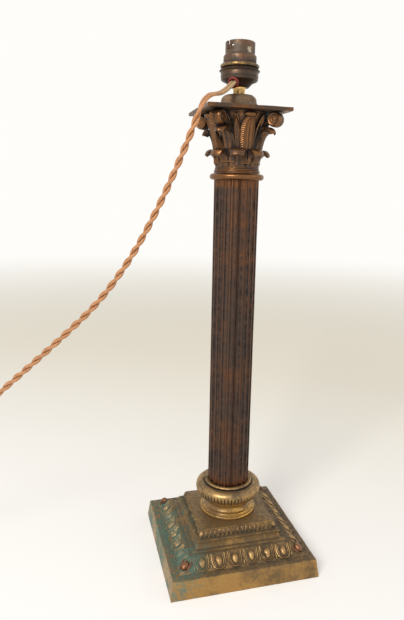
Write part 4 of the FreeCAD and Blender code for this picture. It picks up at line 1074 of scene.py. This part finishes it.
def mark_hollows(pieces, reach, rays=12, gain=1.0):
    """Give the pieces' points how sheltered they are, how sharp a ridge and how level."""
    spots, faces = [], []
    for piece in pieces:
        mesh = piece.data
        mesh.calc_loop_triangles()
        base = len(spots)
        spots += [v.co.copy() for v in mesh.vertices]
        faces += [tuple(base + k for k in t.vertices) for t in mesh.loop_triangles]
    tree = BVHTree.FromPolygons(spots, faces)
    golden = pi * (3 - 5 ** 0.5)
    lobes = []
    for k in range(rays):
        up = sqrt(1 - (k + 0.5) / rays * 0.94)
        flat = sqrt(1 - up * up)
        lobes.append((flat * cos(golden * k), flat * sin(golden * k), up))
    for piece in pieces:
        mesh = piece.data
        count = len(mesh.vertices)
        shelter = np.zeros(count)
        for k, v in enumerate(mesh.vertices):
            side = v.normal.orthogonal().normalized()
            other = v.normal.cross(side)
            start = v.co + v.normal * 0.00012
            for x, y, up in lobes:
                found = tree.ray_cast(start, side * x + other * y + v.normal * up, reach)
                if found[0] is not None:
                    shelter[k] += 1 - 0.5 * found[3] / reach
        shelter *= gain / rays
        edges = np.array([e.vertices for e in mesh.edges])
        spot = np.array([v.co for v in mesh.vertices])
        normal = np.array([v.normal for v in mesh.vertices])
        links = np.bincount(edges.ravel(), minlength=count).clip(1)
        pull = np.zeros((count, 3))
        for a, b in ((0, 1), (1, 0)):
            for axis in range(3):
                step = spot[edges[:, b], axis] - spot[edges[:, a], axis]
                pull[:, axis] += np.bincount(edges[:, a], step, count)
        lengths = np.linalg.norm(spot[edges[:, 0]] - spot[edges[:, 1]], axis=1)
        length = np.bincount(edges.ravel(), np.repeat(lengths, 2), count) / links
        bulge = -np.sum(pull / links[:, None] * normal, axis=1) / np.maximum(length, 1e-6)
        ridge = np.clip(bulge * 4, 0, 1)
        for values in (shelter, ridge):
            near = np.zeros(count)
            for a, b in ((0, 1), (1, 0)):
                near += np.bincount(edges[:, a], values[edges[:, b]], count)
            values[:] = 0.5 * values + 0.5 * near / links
        level = np.clip(normal[:, 2] * 1.6 - 0.6, 0, 1)
        for name, values in (("shelter", shelter), ("ridge", ridge), ("level", level)):
            layer = mesh.attributes.new(name, "FLOAT", "POINT")
            layer.data.foreach_set("value", values.astype(np.float32))


def named(names):
    return [bpy.data.objects[name] for name in names.split()]


# shelter darkens the finishes in their hollows: grime and painted shade on the metals, painted shade on the
# moulded parts and the flex
mark_hollows(named("plinth_casting egg_band corner_eggs small_leaf_band"), 0.006, gain=1.2)
mark_hollows(named("lobed_ring foot"), 0.006, gain=1.3)
mark_hollows(capital_pieces + named("neck_moulding turned_cap collar"), 0.009)
mark_hollows(named("fluted_tube"), 0.005, gain=6.0)
mark_hollows(named("holder_shell rim_ring bright_ring barrel exit_bush contact_block"), 0.006)
mark_hollows([flex], 0.004, 8, gain=1.5)


# ---- floor and light ----

def studio():
    """Pale glowing floor that runs up into a backdrop, with painted shade making it darker and warmer towards
    the back right; a soft key light from the left and a plain sky.
    """
    bm = bmesh.new()
    bmesh.ops.create_grid(bm, x_segments=1, y_segments=1, size=6)
    mesh = bpy.data.meshes.new("floor")
    bm.to_mesh(mesh)
    bm.free()
    floor = bpy.data.objects.new("floor", mesh)
    scene.collection.objects.link(floor)
    material, tree, shader = new_material("pale floor")
    axes = tree.add("SeparateXYZ", {0: tree.place()}).outputs
    away = tree.add("VectorMath", {0: tree.place()}, operation="LENGTH").outputs["Value"]
    far = tree.spread(away, 0.7, 2.8)
    # painted shade: the floor's colour and glow turn darker and warmer towards the back right
    depth = tree.scaled(axes[0], 0.6, axes[1])
    near = tree.spread(depth, 0.8, -0.25)
    floor_with_painted_shade = tree.blend(near, (0.80, 0.765, 0.68, 1), (0.88, 0.87, 0.84, 1))
    tree.feed(shader, Base_Color=tree.blend(far, floor_with_painted_shade, (0, 0, 0, 1)))
    glow_with_painted_shade = tree.blend(near, (0.28, 0.262, 0.22, 1), (0.34, 0.34, 0.35, 1))
    tree.feed(shader, Emission_Color=tree.blend(far, glow_with_painted_shade, (1.0, 0.985, 0.95, 1)), Emission_Strength=1.0)
    tree.feed(shader, Roughness=0.9, Specular_IOR_Level=0.0)
    mesh.materials.append(material)

    world = bpy.data.worlds.new("sky")
    scene.world = world
    world.use_nodes = True
    world.node_tree.nodes.clear()
    tree = Tree(world.node_tree)
    path = tree.add("LightPath").outputs
    seen = tree.maths("MAXIMUM", path["Is Camera Ray"], path["Is Glossy Ray"])
    seen = tree.maths("MAXIMUM", seen, path["Is Transmission Ray"])
    plain_sky = tree.add("Background", {"Color": (1.0, 0.97, 0.93, 1), "Strength": 0.42})
    backdrop = tree.add("Background", {"Color": (1.0, 0.985, 0.95, 1), "Strength": 1.0})
    both = tree.add("MixShader", {0: seen, 1: plain_sky.outputs[0], 2: backdrop.outputs[0]})
    tree.add("OutputWorld", {"Surface": both.outputs[0]})

    aim = Vector((0, 0, 0.2))
    for name, power, size, place in (
            ("key", 29, 0.8, (-1.3, -1.4, 1.45)), ("fill", 2, 1.2, (1.4, -0.8, 1.0))):
        light = bpy.data.lights.new(name, "AREA")
        light.energy, light.size, light.color = power, size, (1, 0.97, 0.92)
        holder = bpy.data.objects.new(name, light)
        scene.collection.objects.link(holder)
        holder.location = place
        holder.rotation_euler = (aim - Vector(place)).to_track_quat("-Z", "Y").to_euler()


studio()
